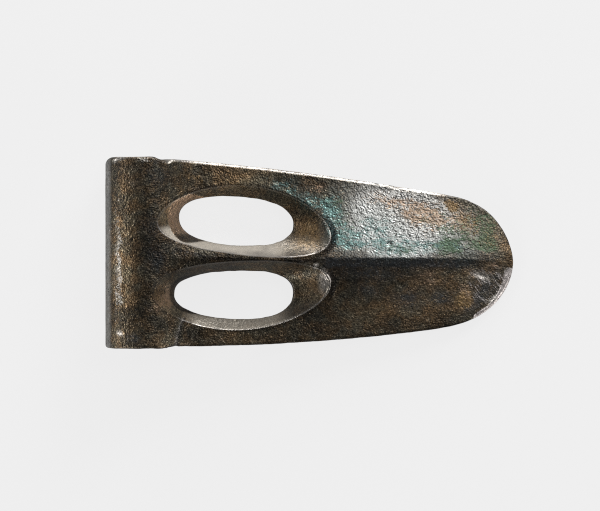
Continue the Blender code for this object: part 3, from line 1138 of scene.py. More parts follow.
# Rows of x, y, reach along and across, turn and strength, in the order of their noise
PATINA_SPOTS = {
    Patina.TEAL: spots(
        (43.5, 16.8, 8.5, 4.5, -10, 0.5), (51.5, 12.5, 9.0, 5.5, -20, 0.6),
        (57.0, 9.0, 5.0, 9.0, -5, 0.7), (60.0, 2.5, 6.0, 6.0, 0, 0.7),
        (67.0, 5.0, 11.0, 9.0, 0, 0.62), (75.0, 1.2, 15.0, 4.0, 0, 0.55),
        (87.0, 1.5, 12.0, 5.0, 0, 0.5), (63.0, 14.0, 10.0, 5.0, -10, 0.3),
        (78.0, 7.0, 16.0, 8.0, -10, 0.25),
    ),
    Patina.GREEN: spots(
        (84.9, 0.5, 7.0, 3.5, 0, 0.65), (94.5, 1.8, 5.0, 3.5, 0, 0.5),
        (90.0, 3.0, 11.0, 8.0, 0, 0.45), (97.5, 4.5, 6.0, 10.0, 10, 0.4),
        (94.0, 9.0, 8.0, 5.0, -35, 0.4), (56.5, 13.0, 5.0, 4.5, -20, 0.45),
        (60.0, 7.0, 7.0, 9.0, -10, 0.5), (73.0, 1.0, 12.0, 3.5, 0, 0.6),
        (70.0, 9.0, 12.0, 8.0, -10, 0.3), (84.0, 8.0, 14.0, 8.0, -10, 0.5),
    ),
    # Bluish-grey slate patches; the long spot at y -4.8 under the midrib is painted shade
    Patina.SLATE: spots(
        (7.1, -21.0, 3.5, 2.5, 0, 0.8), (13.0, -2.5, 4.5, 6.5, 0, 0.7),
        (13.6, 19.0, 5.0, 4.5, 0, 0.5), (11.5, 6.5, 3.5, 5.0, 0, 0.5),
        (83.6, -11.4, 4.5, 3.5, 0, 0.9), (75.5, -12.0, 6.5, 4.0, 0, 0.8),
        (66.0, -9.5, 4.5, 3.0, 0, 0.6), (66.0, -4.8, 16.0, 3.0, 0, 0.6),
        (95.0, -8.6, 8.5, 6.0, 45, 0.7), (91.5, -13.5, 5.0, 3.0, 30, 0.8),
        (43.0, 16.8, 6.0, 3.0, 0, 0.5), (51.0, 14.0, 5.0, 3.0, -20, 0.4),
    ),
    # Pale silvery metal on the upper blade, paler still as painted highlight on the facet that faces the
    # light
    Patina.PALE: spots(
        (73.0, 5.0, 19.0, 14.0, -10, 1.0), (74.0, 5.0, 18.0, 12.0, -10, 0.4),
        (60.0, 5.0, 9.0, 12.0, 0, 0.3), (72.0, 12.5, 19.0, 7.0, -12, 0.8),
        (82.0, 11.0, 13.0, 6.0, -20, 0.5), (91.0, 4.5, 12.0, 10.0, 0, 0.5),
    ),
    Patina.COPPER: spots(
        (53.5, 16.2, 8.0, 3.0, -10, 0.6), (77.0, 11.0, 13.0, 7.0, -12, 0.65),
        (83.0, 7.0, 12.0, 7.0, -15, 0.5), (91.0, 8.0, 7.0, 7.0, 0, 0.6),
        (67.0, 14.0, 9.0, 4.0, -12, 0.5), (80.4, -7.1, 5.5, 5.5, 0, 0.6),
        (88.0, -8.2, 6.0, 4.5, 0, 0.25), (90.4, -11.5, 5.0, 5.5, 0, 0.7),
        (15.6, -11.5, 4.0, 6.0, 0, 0.75), (51.5, 5.5, 4.5, 4.5, 0, 0.45),
        (52.0, -9.9, 4.0, 4.5, 0, 0.4), (97.0, -3.0, 4.0, 2.5, 0, 0.6),
        (12.0, -14.5, 3.5, 3.0, 0, 0.5), (29.0, -21.0, 6.0, 2.5, 0, 0.4),
        (7.0, 19.0, 4.0, 4.0, 0, 0.4),
    ),
    Patina.OCHRE: spots(
        (85.6, 12.0, 4.5, 3.0, -30, 0.9), (89.5, 8.0, 6.0, 6.0, 0, 0.6),
        (96.0, 4.0, 7.0, 9.0, 0, 0.55), (33.5, 18.0, 14.0, 4.0, -4, 0.5),
        (22.0, 18.5, 5.5, 4.0, 0, 0.5), (32.0, -21.5, 14.0, 4.0, 0, 0.4),
        (5.0, -20.0, 5.0, 5.0, 0, 0.5), (70.0, -14.0, 16.0, 4.0, 8, 0.45),
        (85.0, -11.0, 12.0, 5.0, 20, 0.4), (50.5, 1.6, 7.0, 4.0, -5, 0.55),
        (51.0, 5.8, 5.5, 5.5, -30, 0.7), (51.0, -9.5, 5.5, 5.5, 0, 0.4),
        (90.4, -12.4, 5.0, 4.5, 0, 0.95), (15.8, 7.5, 4.0, 6.0, 0, 0.5),
        (15.5, -12.5, 4.0, 5.0, 0, 0.5),
    ),
    # Nicks and worn bare metal; the spot at x 54.9 on the lower window's lip is a painted highlight
    Patina.WORN: spots(
        (93.6, -5.7, 3.2, 1.6, -10, 1.0), (54.9, -7.0, 1.9, 4.6, -8, 0.8),
        (3.4, 23.2, 1.6, 1.2, 0, 1.0), (4.1, -20.2, 1.2, 1.0, 0, 1.0),
        (52.6, -2.6, 1.0, 0.8, 0, 0.8),
    ),
    Patina.SHADE: spots(
        (11.6, -1.0, 5.2, 27.0, 0, 0.75), (36.0, -1.4, 26.0, 2.8, 0, 0.9),
        (20.0, -0.6, 12.0, 5.0, 0, 0.5), (74.0, -2.8, 26.0, 3.0, 0, 0.6),
        (60.0, -6.0, 8.0, 6.0, 0, 0.5), (46.0, -20.0, 8.0, 3.0, 0, 0.5),
        (16.5, 18.8, 5.0, 4.0, 0, 0.45), (50.6, 1.2, 6.0, 3.0, 0, 0.3),
        (49.0, 16.8, 8.0, 4.0, -12, 0.3), (21.2, 18.4, 5.0, 3.5, 0, 0.25),
        (21.1, -20.8, 5.0, 3.5, 0, 0.3), (15.0, -18.2, 5.0, 4.0, 0, 0.6),
        (21.5, -20.4, 5.0, 3.5, 0, 0.75), (43.0, 18.6, 8.0, 3.0, -8, 0.3),
        (49.5, -14.5, 7.0, 4.0, 15, 0.5),
    ),
    # Lighter golden tone; the long spot at x 4.8 down the tube's back is a painted highlight
    Patina.GOLD: spots(
        (29.5, 19.4, 9.0, 3.4, -3, 0.9), (37.0, 18.4, 8.0, 3.0, -3, 0.4),
        (52.5, 14.6, 6.0, 3.0, -20, 0.6), (86.0, -9.5, 16.0, 8.0, 20, 0.5),
        (70.0, -15.0, 14.0, 3.5, 8, 0.6), (50.8, 6.2, 6.0, 6.5, -30, 0.9),
        (83.0, -14.5, 8.0, 3.5, 15, 0.7), (90.0, -5.5, 5.5, 3.5, 0, 1.0),
        (4.8, 0.0, 4.6, 34.0, 0, 0.8), (51.0, -9.5, 5.5, 5.5, 0, 0.7),
        (15.6, 7.6, 4.5, 7.5, 0, 0.8), (15.8, -11.5, 4.5, 6.0, 0, 1.0),
        (98.0, 2.0, 8.0, 13.0, 0, 0.8), (6.0, -20.0, 5.0, 5.0, 0, 0.4),
    ),
    Patina.GLEAM: spots(
        (3.2, -3.0, 2.2, 28.0, 0, 1.0), (10.0, 22.8, 6.0, 1.8, 0, 0.9),
        (78.0, 15.0, 13.0, 3.4, -10, 0.7), (97.0, -12.4, 8.0, 2.4, 52, 0.9),
        (17.2, -13.6, 4.0, 4.0, 0, 0.6), (75.0, 6.0, 30.0, 14.0, -10, 0.4),
    ),
    Patina.SCRATCH: spots(
        (95.5, -9.0, 7.5, 7.0, 45, 1.0),
    ),
}


@dataclass
class PatinaMap:
    """Weights of every patina on the head's mesh, painted shade and highlights among them; the far face
    gets only chance patches.
    """

    relief: Relief
    points: Array
    normals: Array
    marks: Array
    weights: dict[Patina, Array] = field(init=False)
    x: Array = field(init=False)
    y: Array = field(init=False)
    above: Array = field(init=False)
    front: Array = field(init=False)
    window_wall: Array = field(init=False)

    # Patches: how far their borders wander, and the chance patches of the far face
    wander: float = 0.9
    wander_size: float = 4.0
    wander_seed: int = 61
    chance: Span = (0.15, 0.9)
    chance_share: float = 0.7
    chance_size: float = 11.0
    chance_shift: float = 97.0
    chance_seed: int = 71
    shade_share: float = 0.83

    # Upper arris: wear and painted highlight where it faces up; painted shade on the arris round nose
    # and below
    arris: Span = (0.25, 0.65)
    arris_lean: Span = (0.1, 0.35)
    arris_up: Span = (-0.1, 0.15)
    arris_run: Stretch = Stretch((14.5, 17.5), (80.0, 87.0))
    arris_least: float = 0.15
    dark_arris: Span = (0.2, 0.7)
    dark_arris_share: float = 0.7
    dark_nose: Span = (84.0, 90.0)
    dark_below: Stretch = Stretch((6.0, 12.0), (88.0, 92.0))

    # Crack: a bright lip, and a shadow beside it
    crack_lip: Span = (0.12, 0.3)
    crack_wear: float = 0.5
    crack_shadow: Span = (0.15, 0.42)
    crack_shadow_shift: float = 0.42

    # Window rims: wear and painted highlight where they face up, and painted shadow outside them
    rim_bright: Span = (0.2, 0.5)
    rim_wear_and_shine: float = 0.8
    rim_least: float = 0.3
    rim_up: Span = (-0.1, 0.3)
    rim_up_share: float = 1.2
    rim_ahead: Span = (48.0, 56.0)
    rim_ahead_share: float = 0.6
    bright_ease: float = 2.0
    bridge_half: float = 0.3
    lip_shade: Span = (1.0, 1.7)
    lip_ahead: Span = (52.0, 56.5)
    lip_thinning: float = 0.8
    line_shade: Span = (0.25, 0.7)
    line_share: float = 0.6

    # Midrib, with pale patina and painted highlight above, painted shade below; the furrow in painted
    # shade; the tube's back glint
    lit_facet_above: Span = (-0.25, 0.45)
    crest_top: Span = (-0.35, 0.0)
    crest_foot: Span = (1.8, 3.4)
    crest_run: Stretch = Stretch((52.0, 56.0), (88.0, 97.0))
    crest_shade: float = 0.45
    crest_slate: float = 0.75
    furrow: Line = ((18.0, 0.7), (26.8, -1.4), (39.3, -2.1), (52.6, -2.1))
    furrow_zone: Span = (0.3, 0.65)
    back_edge: Span = (0.9, 1.9)
    back_glint: float = 0.6
    back_flat: float = 0.95

    # Window walls: painted sheen where they face up towards the light, crescents at the socket end, and
    # painted shade on walls that face down
    lit_wall_up: Span = (0.15, 0.4)
    lit_wall_least: float = 0.03
    lit_wall_ends: Span = (41.0, 48.0)
    lit_wall_lost: float = 0.8
    upper_lit_wall: Span = (11.3, 12.8)
    lower_lit_wall: Span = (18.0, 24.0)
    lower_lit_wall_share: float = 0.7
    upper_crescent: float = 2.6
    lower_crescent: float = 1.1
    crescent_tail: Span = (3.5, 5.5)
    crescent_copper: float = 0.8
    tail_shade: float = 0.45
    lower_shade: float = 0.9
    crescent_calm: float = 0.9
    dim_down: Span = (0.1, 0.4)
    dim_run: Stretch = Stretch((22.0, 27.0), (40.0, 46.0))
    dim_share: float = 0.35

    # Calmer lower blade, and the honed bevel
    satin_below: Span = (0.0, 1.0)
    satin_ahead: Span = (48.0, 54.0)
    bevel: Span = (0.95, 1.35)

    def __post_init__(self) -> None:
        """Works out what several patinas follow, and starts every weight at 0."""
        self.x, self.y, z = self.points.T
        self.above = self.y - self.relief.form.ridge(self.x)
        self.front = z > 0.0
        self.window_wall = on_wall(self.marks) & self.front
        self.weights = {patina: np.zeros(len(self.points)) for patina in Patina}

    def _lift(self, patina: Patina, weight: Array) -> None:
        """Makes a patina at least as strong as the weight."""
        self.weights[patina] = np.maximum(self.weights[patina], weight)

    def _add(self, patina: Patina, weight: Array) -> None:
        """Adds a weight to a patina, up to 1 in all."""
        self.weights[patina] = np.clip(self.weights[patina] + weight, 0.0, 1.0)

    def _thin(self, patina: Patina, share: Array | float) -> None:
        """Keeps only a share of a patina."""
        self.weights[patina] = self.weights[patina] * share

    def masks(self) -> dict[str, Array]:
        """Works out every patina in turn, and packs the weights four to a mask.

        Returns:
            The masks by name, each with four channels.
        """
        self._strew()
        self._follow_crack()
        self._follow_rims()
        self._follow_outline()
        self._follow_ridge()
        self._dress_walls()
        masks = {name: np.zeros((len(self.points), 4)) for name in MASKS}
        for patina, weight in self.weights.items():
            name, channel = patina.value
            masks[name][:, channel] = weight
        return masks

    def _strew(self) -> None:
        """Spots with wandering borders on the upward face, and noise patches on the other."""
        points, seeds = self.points, (self.wander_seed, self.wander_seed + 1)
        warp = [layered_noise(points, self.wander_size, seed) for seed in seeds]
        bent = points.copy()
        bent[:, :2] += self.wander * np.stack(warp, axis=-1)
        for index, (patina, patches) in enumerate(PATINA_SPOTS.items()):
            total = sum(spot.weight(bent) for spot in patches)
            seed = self.chance_seed + index
            noise = layered_noise(points + self.chance_shift, self.chance_size, seed)
            chance = self.chance_share * rise(self.chance, noise)
            self._lift(patina, np.where(self.front, np.clip(total, 0.0, 1.0), chance))
        self._thin(Patina.SHADE, self.shade_share)

    def _follow_crack(self) -> None:
        """Bright lip along the crack, and shadow to its right."""
        crack, shift = self.relief.crack, np.array([self.crack_shadow_shift, 0.0, 0.0])
        lip = fall(self.crack_lip, line_distance(self.points, crack))
        self._add(Patina.WORN, self.crack_wear * lip * self.front)
        beside = fall(self.crack_shadow, line_distance(self.points - shift, crack))
        self._add(Patina.SHADE, beside * self.front)

    def _follow_rims(self) -> None:
        """Wear and painted highlight on window rims facing up or ahead, with painted shadow round them.
        """
        x, up = self.x, self.normals[:, 1]
        ease = self.bright_ease
        off_bridge = np.abs(self.above) > self.bridge_half
        outside = (self.marks <= 0.0) & self.front & off_bridge
        for window in (UPPER_WINDOW, LOWER_WINDOW):
            gap = window.rim_gap(self.relief.form, self.points)
            facing = self.rim_least + self.rim_up_share * rise(self.rim_up, up)
            facing += self.rim_ahead_share * rise(self.rim_ahead, x)
            facing *= rise((window.bright_from - ease, window.bright_from + ease), x)
            # Rim brightness: wear, plus painted highlight that grows where the rim faces up to the light
            rim_shine = self.rim_wear_and_shine * facing * fall(self.rim_bright, gap)
            self._add(Patina.WORN, rim_shine * (self.marks > 0.0))
            lip = fall(self.lip_shade, gap) * rise(self.lip_ahead, x) * outside
            self._lift(Patina.SHADE, lip)
            self._lift(Patina.SHADE, self.line_share * fall(self.line_shade, gap) * outside)
            self._thin(Patina.PALE, 1.0 - self.lip_thinning * lip)

    def _follow_outline(self) -> None:
        """Painted highlight and wear on the upper arris, painted shade elsewhere, honed bevel, painted
        glint on the back.
        """
        x, lean = self.x, np.abs(self.normals[:, 2])
        gap = self.relief.outline_gap(self.points)
        run = blend(self.arris_least, 1.0, self.arris_run.share(x))
        bright = fall(self.arris, gap) * rise(self.arris_lean, lean)
        # Upper arris: wear, plus painted highlight where it faces up to the light
        self._add(Patina.WORN, bright * run * rise(self.arris_up, self.normals[:, 1]))
        dark = self.dark_arris_share * fall(self.dark_arris, gap) * self.front
        dark *= np.where(self.y > 0.0, rise(self.dark_nose, x), self.dark_below.share(x))
        self._lift(Patina.SHADE, dark)
        glint = self.back_glint * fall(self.back_edge, x) * (lean < self.back_flat)
        # Pale patina kept above the ridge, on the facet that faces the light, as painted highlight; the
        # back glint is a painted reflection
        self._thin(Patina.PALE, rise(self.lit_facet_above, self.above))
        self._lift(Patina.PALE, glint)
        bevel = fall(self.bevel, line_distance(self.points, self.relief.bevel))
        self._lift(Patina.BEVEL, bevel * self.front)

    def _follow_ridge(self) -> None:
        """Painted shade under the midrib and in the furrow between the windows, and a calm lower blade.
        """
        x, below = self.x, -self.above
        crest = rise(self.crest_top, below) * fall(self.crest_foot, below)
        crest *= self.crest_run.share(x) * self.front
        # Painted shade, in a bluish slate, on the band under the midrib that faces away from the light
        self._lift(Patina.SHADE, self.crest_shade * crest)
        self._lift(Patina.SLATE, self.crest_slate * crest)
        furrow = fall(self.furrow_zone, line_distance(self.points, self.furrow))
        self._lift(Patina.SHADE, furrow * (self.marks <= WALL_FROM) * self.front)
        satin = rise(self.satin_below, below) * rise(self.satin_ahead, x)
        self._lift(Patina.SATIN, satin * self.front)

    def _dress_walls(self) -> None:
        """Painted sheen on up-facing window walls, painted shade on down-facing ones, crisp crescents at
        socket ends.
        """
        form, points, x, up = self.relief.form, self.points, self.x, self.normals[:, 1]
        upper_wall = self.above > 0.0
        # Painted sheen: strongest where the wall's normal points up, towards the top lights
        facing_light = blend(self.lit_wall_least, 1.0, rise(self.lit_wall_up, up))
        facing_light *= 1.0 - self.lit_wall_lost * rise(self.lit_wall_ends, x)
        lower_begins = self.lower_lit_wall_share * rise(self.lower_lit_wall, x)
        begins = np.where(upper_wall, rise(self.upper_lit_wall, x), lower_begins)
        upper = UPPER_WINDOW.crescent(form, points, self.upper_crescent) * self.window_wall
        lower = LOWER_WINDOW.crescent(form, points, self.lower_crescent) * self.window_wall
        body, tail = rise(self.crescent_tail, self.y), fall(self.crescent_tail, self.y)
        self._lift(Patina.GOLD, upper * body)
        self._lift(Patina.COPPER, self.crescent_copper * upper * body)
        self._add(Patina.SHADE, self.tail_shade * upper * tail + self.lower_shade * lower)
        # Painted shade on upper-window walls that face down, away from the light
        dim = rise(self.dim_down, -up) * self.dim_run.share(x)
        self._lift(Patina.SHADE, self.dim_share * dim * self.window_wall * upper_wall)
        walls = np.clip(self.marks, 0.0, 1.0)
        self._lift(Patina.FILM, walls * facing_light * begins * (1.0 - upper) * (1.0 - lower))
        self._lift(Patina.HOLLOW, walls * (1.0 - self.crescent_calm * upper))


@dataclass
class Desk:
    """Lays out the nodes of one node tree. An input takes a value or another node's output."""

    tree: bpy.types.NodeTree

    def join(self, target: Socket, value: object) -> None:
        """Sets an input to a value, or links an output to it."""
        if isinstance(value, Socket):
            self.tree.links.new(value, target)
        else:
            target.default_value = value

    def put(
        self, kind: str, values: dict[object, object] | None = None, **settings: object
    ) -> bpy.types.Node:
        """Adds a node.

        Args:
            kind: the node's type.
            values: what goes into each named or numbered input.
            **settings: the node's own settings.

        Returns:
            The node.
        """
        node = self.tree.nodes.new(kind)
        for name, value in settings.items():
            setattr(node, name, value)
        for name, value in (values or {}).items():
            self.join(node.inputs[name], value)
        return node

    def math(self, operation: str, *values: object) -> Socket:
        """One arithmetic step on numbers."""
        return self.put("ShaderNodeMath", dict(enumerate(values)), operation=operation).outputs[0]

    def times(self, first: object, *others: object) -> Socket:
        """Product of numbers."""
        for other in others:
            first = self.math("MULTIPLY", first, other)
        return first

    def plus(self, first: object, *others: object) -> Socket:
        """Sum of numbers."""
        for other in others:
            first = self.math("ADD", first, other)
        return first

    def minus(self, first: object, second: object) -> Socket:
        """Difference of two numbers."""
        return self.math("SUBTRACT", first, second)

    def vector(self, operation: str, first: object, second: object) -> Socket:
        """One arithmetic step on vectors."""
        values = {0: first, 1: second}
        return self.put("ShaderNodeVectorMath", values, operation=operation).outputs[0]

    def lerp(self, factor: object, first: object, second: object) -> Socket:
        """Mixes two numbers."""
        return self.put("ShaderNodeMix", {0: factor, 2: first, 3: second}).outputs[0]

    def mix(self, factor: object, first: object, second: object, way: str = "MIX") -> Socket:
        """Mixes two colours."""
        values = {0: factor, 6: first, 7: second}
        return self.put("ShaderNodeMix", values, data_type="RGBA", blend_type=way).outputs[2]

    def span(self, value: object, source: Span, target: Span = (0.0, 1.0)) -> Socket:
        """Maps one span to another with eased ends."""
        ends = {"From Min": source[0], "From Max": source[1], "To Min": target[0], "To Max": target[1]}
        values = {"Value": value, **ends}
        return self.put("ShaderNodeMapRange", values, interpolation_type="SMOOTHSTEP").outputs[0]

    def noise(
        self, vector: object, scale: object, detail: float = 0.0, seed: object = None,
        roughness: float = 0.5,
    ) -> bpy.types.Node:
        """Noise in three dimensions, or in four with a seed as the fourth.

        Args:
            vector: coordinates in millimetres.
            scale: one over the size of a feature.
            detail: how many finer layers are added.
            seed: picks the pattern.
            roughness: height of each finer layer against the last.

        Returns:
            The node, with a value and a colour to take from it.
        """
        values = {"Vector": vector, "Scale": scale, "Detail": detail, "Roughness": roughness}
        if seed is None:
            return self.put("ShaderNodeTexNoise", values)
        return self.put("ShaderNodeTexNoise", {**values, "W": seed}, noise_dimensions="4D")

    def coarse(self, vector: object, size: float, detail: float, seed: float) -> Socket:
        """Noise value with features of a size in millimetres."""
        return self.noise(vector, 1.0 / size, detail, seed).outputs[0]

    def group(self, tree: bpy.types.NodeTree, **values: object) -> bpy.types.Node:
        """Places a node group, with its inputs by name."""
        return self.put("ShaderNodeGroup", values, node_tree=tree)

    def turned(self, vector: object, degrees: float) -> Socket:
        """Coordinates turned about the axis that points at the viewer."""
        values = {"Vector": vector, "Rotation": (0.0, 0.0, math.radians(degrees))}
        return self.put("ShaderNodeMapping", values).outputs[0]


def new_desk(owner: bpy.types.Material | bpy.types.World) -> Desk:
    """Clears the node tree of a material or world for laying out."""
    owner.use_nodes = True
    owner.node_tree.nodes.clear()
    return Desk(owner.node_tree)


@dataclass
class Group:
    """A shader node group in the making: numbers in beside a vector, numbers out."""

    name: str
    numbers: dict[str, float]
    results: tuple[str, ...]
    desk: Desk = field(init=False)
    given: bpy.types.Node = field(init=False)
    out: bpy.types.Node = field(init=False)

    def __post_init__(self) -> None:
        """Makes the group's sockets, and its desk with an input and an output node."""
        tree = bpy.data.node_groups.new(self.name, "ShaderNodeTree")
        tree.interface.new_socket("Vector", in_out="INPUT", socket_type="NodeSocketVector")
        for label, value in self.numbers.items():
            socket = tree.interface.new_socket(label, in_out="INPUT", socket_type="NodeSocketFloat")
            socket.default_value = value
        for label in self.results:
            tree.interface.new_socket(label, in_out="OUTPUT", socket_type="NodeSocketFloat")
        self.desk = Desk(tree)
        self.given = self.desk.put("NodeGroupInput")
        self.out = self.desk.put("NodeGroupOutput")

    def done(self, **results: Socket) -> bpy.types.NodeTree:
        """Joins the results to the group's outputs, and returns its tree."""
        for label, result in results.items():
            self.desk.join(self.out.inputs[label], result)
        return self.desk.tree


@dataclass(frozen=True)
class Tint:
    """One patina's look: colour, size and stretch of flecks, metal, softness and seed."""

    patina: Patina
    colour: Colour
    fleck: float
    stretch: float
    metal: float
    soft: float
    seed: float


@dataclass(frozen=True)
class SkinGroups:
    """The node groups of the bronze: flecks of patina, cast grain and drawn streaks."""

    drift_scale: float = 0.4
    drift: tuple[float, float, float] = (1.4, 1.4, 0.0)
    fleck_detail: float = 2.0
    fleck_roughness: float = 0.6
    broad_scale: float = 0.22
    fine_share: float = 0.6
    broad_share: float = 0.4
    fleck_limit: Span = (0.70, 0.40)
    fleck_edge: Span = (-0.06, 0.10)
    fleck_present: Span = (0.0, 0.15)
    coarse_scale: float = 0.42
    grain_share: float = 1.6
    pit_share: float = 0.35
    pit_edge: Span = (0.12, 0.34)

    def _drawn(self, desk: Desk, vector: object, stretch: object) -> Socket:
        """Coordinates bent by slow noise and squeezed along the blade, so patterns run lengthwise.

        Args:
            desk: the group's desk.
            vector: coordinates in millimetres.
            stretch: how many times longer than wide a feature is.

        Returns:
            The new coordinates.
        """
        drift = desk.noise(vector, self.drift_scale, 1.0).outputs[1]
        bent = desk.vector("ADD", vector, desk.vector("MULTIPLY", drift, self.drift))
        squeeze = {"X": desk.math("DIVIDE", 1.0, stretch), "Y": 1.0, "Z": 1.0}
        return desk.vector("MULTIPLY", bent, desk.put("ShaderNodeCombineXYZ", squeeze).outputs[0])

    def flecks(self) -> bpy.types.NodeTree:
        """Group that breaks a soft weight into flecks.

        Noise is compared with one minus the weight: a low weight leaves a few
        flecks, and a full one covers most of the skin.

        Returns:
            The group.
        """
        numbers = {"Weight": 0.0, "Size": 1.0, "Stretch": 1.0, "Seed": 0.0}
        group = Group("patina_flecks", numbers, ("Mask",))
        desk, given = group.desk, group.given.outputs
        scale = desk.math("DIVIDE", 1.0, given["Size"])
        drawn = self._drawn(desk, given["Vector"], given["Stretch"])
        look = (self.fleck_detail, given["Seed"], self.fleck_roughness)
        fine = desk.noise(drawn, scale, *look).outputs[0]
        broad = desk.noise(drawn, desk.times(scale, self.broad_scale), *look).outputs[0]
        noise = desk.plus(desk.times(fine, self.fine_share), desk.times(broad, self.broad_share))
        limit = desk.span(given["Weight"], (0.0, 1.0), self.fleck_limit)
        mask = desk.span(desk.minus(noise, limit), self.fleck_edge)
        present = desk.span(given["Weight"], self.fleck_present)
        return group.done(Mask=desk.times(mask, present))

    def grain(self) -> bpy.types.NodeTree:
        """Group for the corroded skin's grain: fine noise, coarser noise and small pits.

        Returns:
            The group.
        """
        group = Group("cast_grain", {"Size": 0.4}, ("Height", "Pits"))
        desk, given = group.desk, group.given.outputs
        vector, scale = given["Vector"], desk.math("DIVIDE", 1.0, given["Size"])
        wide = desk.times(scale, self.coarse_scale)
        fine, coarse = (desk.noise(vector, size).outputs[0] for size in (scale, wide))
        cells = desk.put("ShaderNodeTexVoronoi", {"Vector": vector, "Scale": wide})
        pits = desk.span(cells.outputs["Distance"], self.pit_edge)
        grains = desk.plus(desk.times(fine, self.grain_share), desk.times(coarse, self.grain_share))
        return group.done(Height=desk.plus(grains, desk.times(pits, self.pit_share)), Pits=pits)

    def streaks(self) -> bpy.types.NodeTree:
        """Group for fine wavy streaks along the blade: noise on squeezed, bent coordinates.

        Returns:
            The group.
        """
        group = Group("drawn_streaks", {"Size": 0.35, "Stretch": 3.2}, ("Height",))
        desk, given = group.desk, group.given.outputs
        drawn = self._drawn(desk, given["Vector"], given["Stretch"])
        scale = desk.math("DIVIDE", 1.0, given["Size"])
        return group.done(Height=desk.noise(drawn, scale).outputs[0])


@dataclass(frozen=True)
class BronzeSkin:
    """Old bronze: a metal sheen through brown corrosion, grain, streaks and coloured patches."""

    groups: SkinGroups = SkinGroups()

    # Brown skin: size, seed and share of each noise, and the shades that their sum reads
    noises: tuple[tuple[float, float, float], ...] = (
        (10.0, 1.0, 0.22), (2.6, 2.0, 0.11), (0.9, 3.0, 0.12), (0.34, 4.0, 0.52),
    )
    shades: tuple[tuple[float, Colour], ...] = (
        (0.28, (0.027, 0.025, 0.023, 1.0)),
        (0.41, (0.076, 0.062, 0.044, 1.0)),
        (0.51, (0.158, 0.124, 0.083, 1.0)),
        (0.61, (0.275, 0.214, 0.134, 1.0)),
        (0.74, (0.500, 0.415, 0.285, 1.0)),
    )
    middle: float = 0.5
    shade_middle: float = 0.49
    contrast: float = 1.45
    satin_contrast: float = 0.35
    rusty: Colour = (1.09, 0.98, 0.88, 1.0)
    slaty: Colour = (0.90, 0.99, 1.06, 1.0)
    mottle_size: float = 3.0
    mottle_seed: float = 12.0
    mottle: Span = (0.36, 0.64)
    metal: float = 0.62

    # Coloured patches of patina and wear; the golden lift, pale tint and worn tint also paint highlights
    golden: Colour = (3.4, 3.0, 2.6, 1.0)
    golden_share: float = 0.4
    tint_share: float = 0.92
    tints: tuple[Tint, ...] = (
        Tint(Patina.SLATE, (0.085, 0.098, 0.110, 1.0), 0.6, 1.0, 0.6, 0.6, 5.0),
        Tint(Patina.PALE, (0.97, 0.97, 0.94, 1.0), 0.45, 1.8, 0.97, 0.7, 33.0),
        Tint(Patina.COPPER, (0.74, 0.51, 0.35, 1.0), 0.36, 1.8, 0.85, 0.12, 21.0),
        Tint(Patina.TEAL, (0.22, 0.39, 0.37, 1.0), 0.38, 2.0, 0.8, 0.25, 9.0),
        Tint(Patina.GREEN, (0.17, 0.26, 0.16, 1.0), 0.34, 1.6, 0.55, 0.10, 14.0),
        Tint(Patina.OCHRE, (0.50, 0.33, 0.16, 1.0), 0.38, 1.0, 0.7, 0.15, 27.0),
        Tint(Patina.WORN, (0.93, 0.87, 0.80, 1.0), 0.5, 1.0, 1.0, 0.75, 39.0),
    )

    # Painted sheen on up-facing window walls, honed metal, painted glints, darker pits and painted shade
    wall: Colour = (0.90, 0.82, 0.70, 1.0)
    wall_share: float = 0.9
    wall_metal: float = 0.35
    honed: Colour = (0.94, 0.86, 0.83, 1.0)
    honed_light: tuple[Span, Span] = ((0.36, 0.54), (0.7, 1.0))
    scratch_light: tuple[Span, Span] = ((0.56, 0.70), (0.0, 0.8))
    spark: Colour = (0.98, 0.93, 0.85, 1.0)
    spark_share: float = 0.8
    spark_weight: float = 0.72
    spark_least: float = 0.05
    spark_size: float = 0.34
    spark_stretch: float = 1.3
    spark_seed: float = 51.0
    pit_dark: Colour = (0.022, 0.020, 0.017, 1.0)
    pit_dark_depth: tuple[Span, Span] = ((0.0, 0.5), (0.75, 0.0))
    shade: Colour = (0.24, 0.24, 0.26, 1.0)

    # Roughness, and the bump of grain, streaks and scratches
    rough_size: float = 0.6
    rough_detail: float = 3.0
    rough_seed: float = 4.0
    rough_noise: Span = (0.3, 0.7)
    rough: Span = (0.30, 0.46)
    bump: float = 0.00010
    grain_size: float = 0.42
    lip_turn: float = 85.0
    flow: tuple[tuple[float, Span], ...] = ((30.0, (57.0, 61.0)), (-8.0, (65.0, 71.0)))
    flow_size: float = 0.42
    flow_stretch: float = 2.7
    flow_share: float = 1.2
    sway: float = 34.0
    sway_size: float = 5.0
    sway_seed: float = 8.0
    score_turn: float = 50.0
    score_size: float = 0.30
    score_stretch: float = 14.0
    score_share: float = 2.0
    gleam_rugged: float = 0.4
    pale_calm: float = 0.6
    calm: tuple[tuple[Patina, float], ...] = (
        (Patina.HOLLOW, 0.6), (Patina.FILM, 0.85), (Patina.WORN, 0.7),
        (Patina.BEVEL, 0.7), (Patina.SATIN, 0.3),
    )

    def material(self, pitch: float, place: Vector) -> bpy.types.Material:
        """The bronze material, with every pattern in the axe's own frame.

        Args:
            pitch: how far the axe is turned about y as it lies.
            place: where the axe frame's origin lies.

        Returns:
            The material.
        """
        material = bpy.data.materials.new("old_bronze")
        desk = new_desk(material)
        seen = desk.put("ShaderNodeTexCoord").outputs["Object"]
        laid = {"Location": place, "Rotation": (0.0, pitch, 0.0), "Scale": (MM, MM, MM)}
        at = desk.put("ShaderNodeMapping", {"Vector": seen, **laid}, vector_type="TEXTURE")
        BronzeWork(self, desk, at.outputs[0], self.groups.flecks(), self.groups.streaks()).dress()
        return material


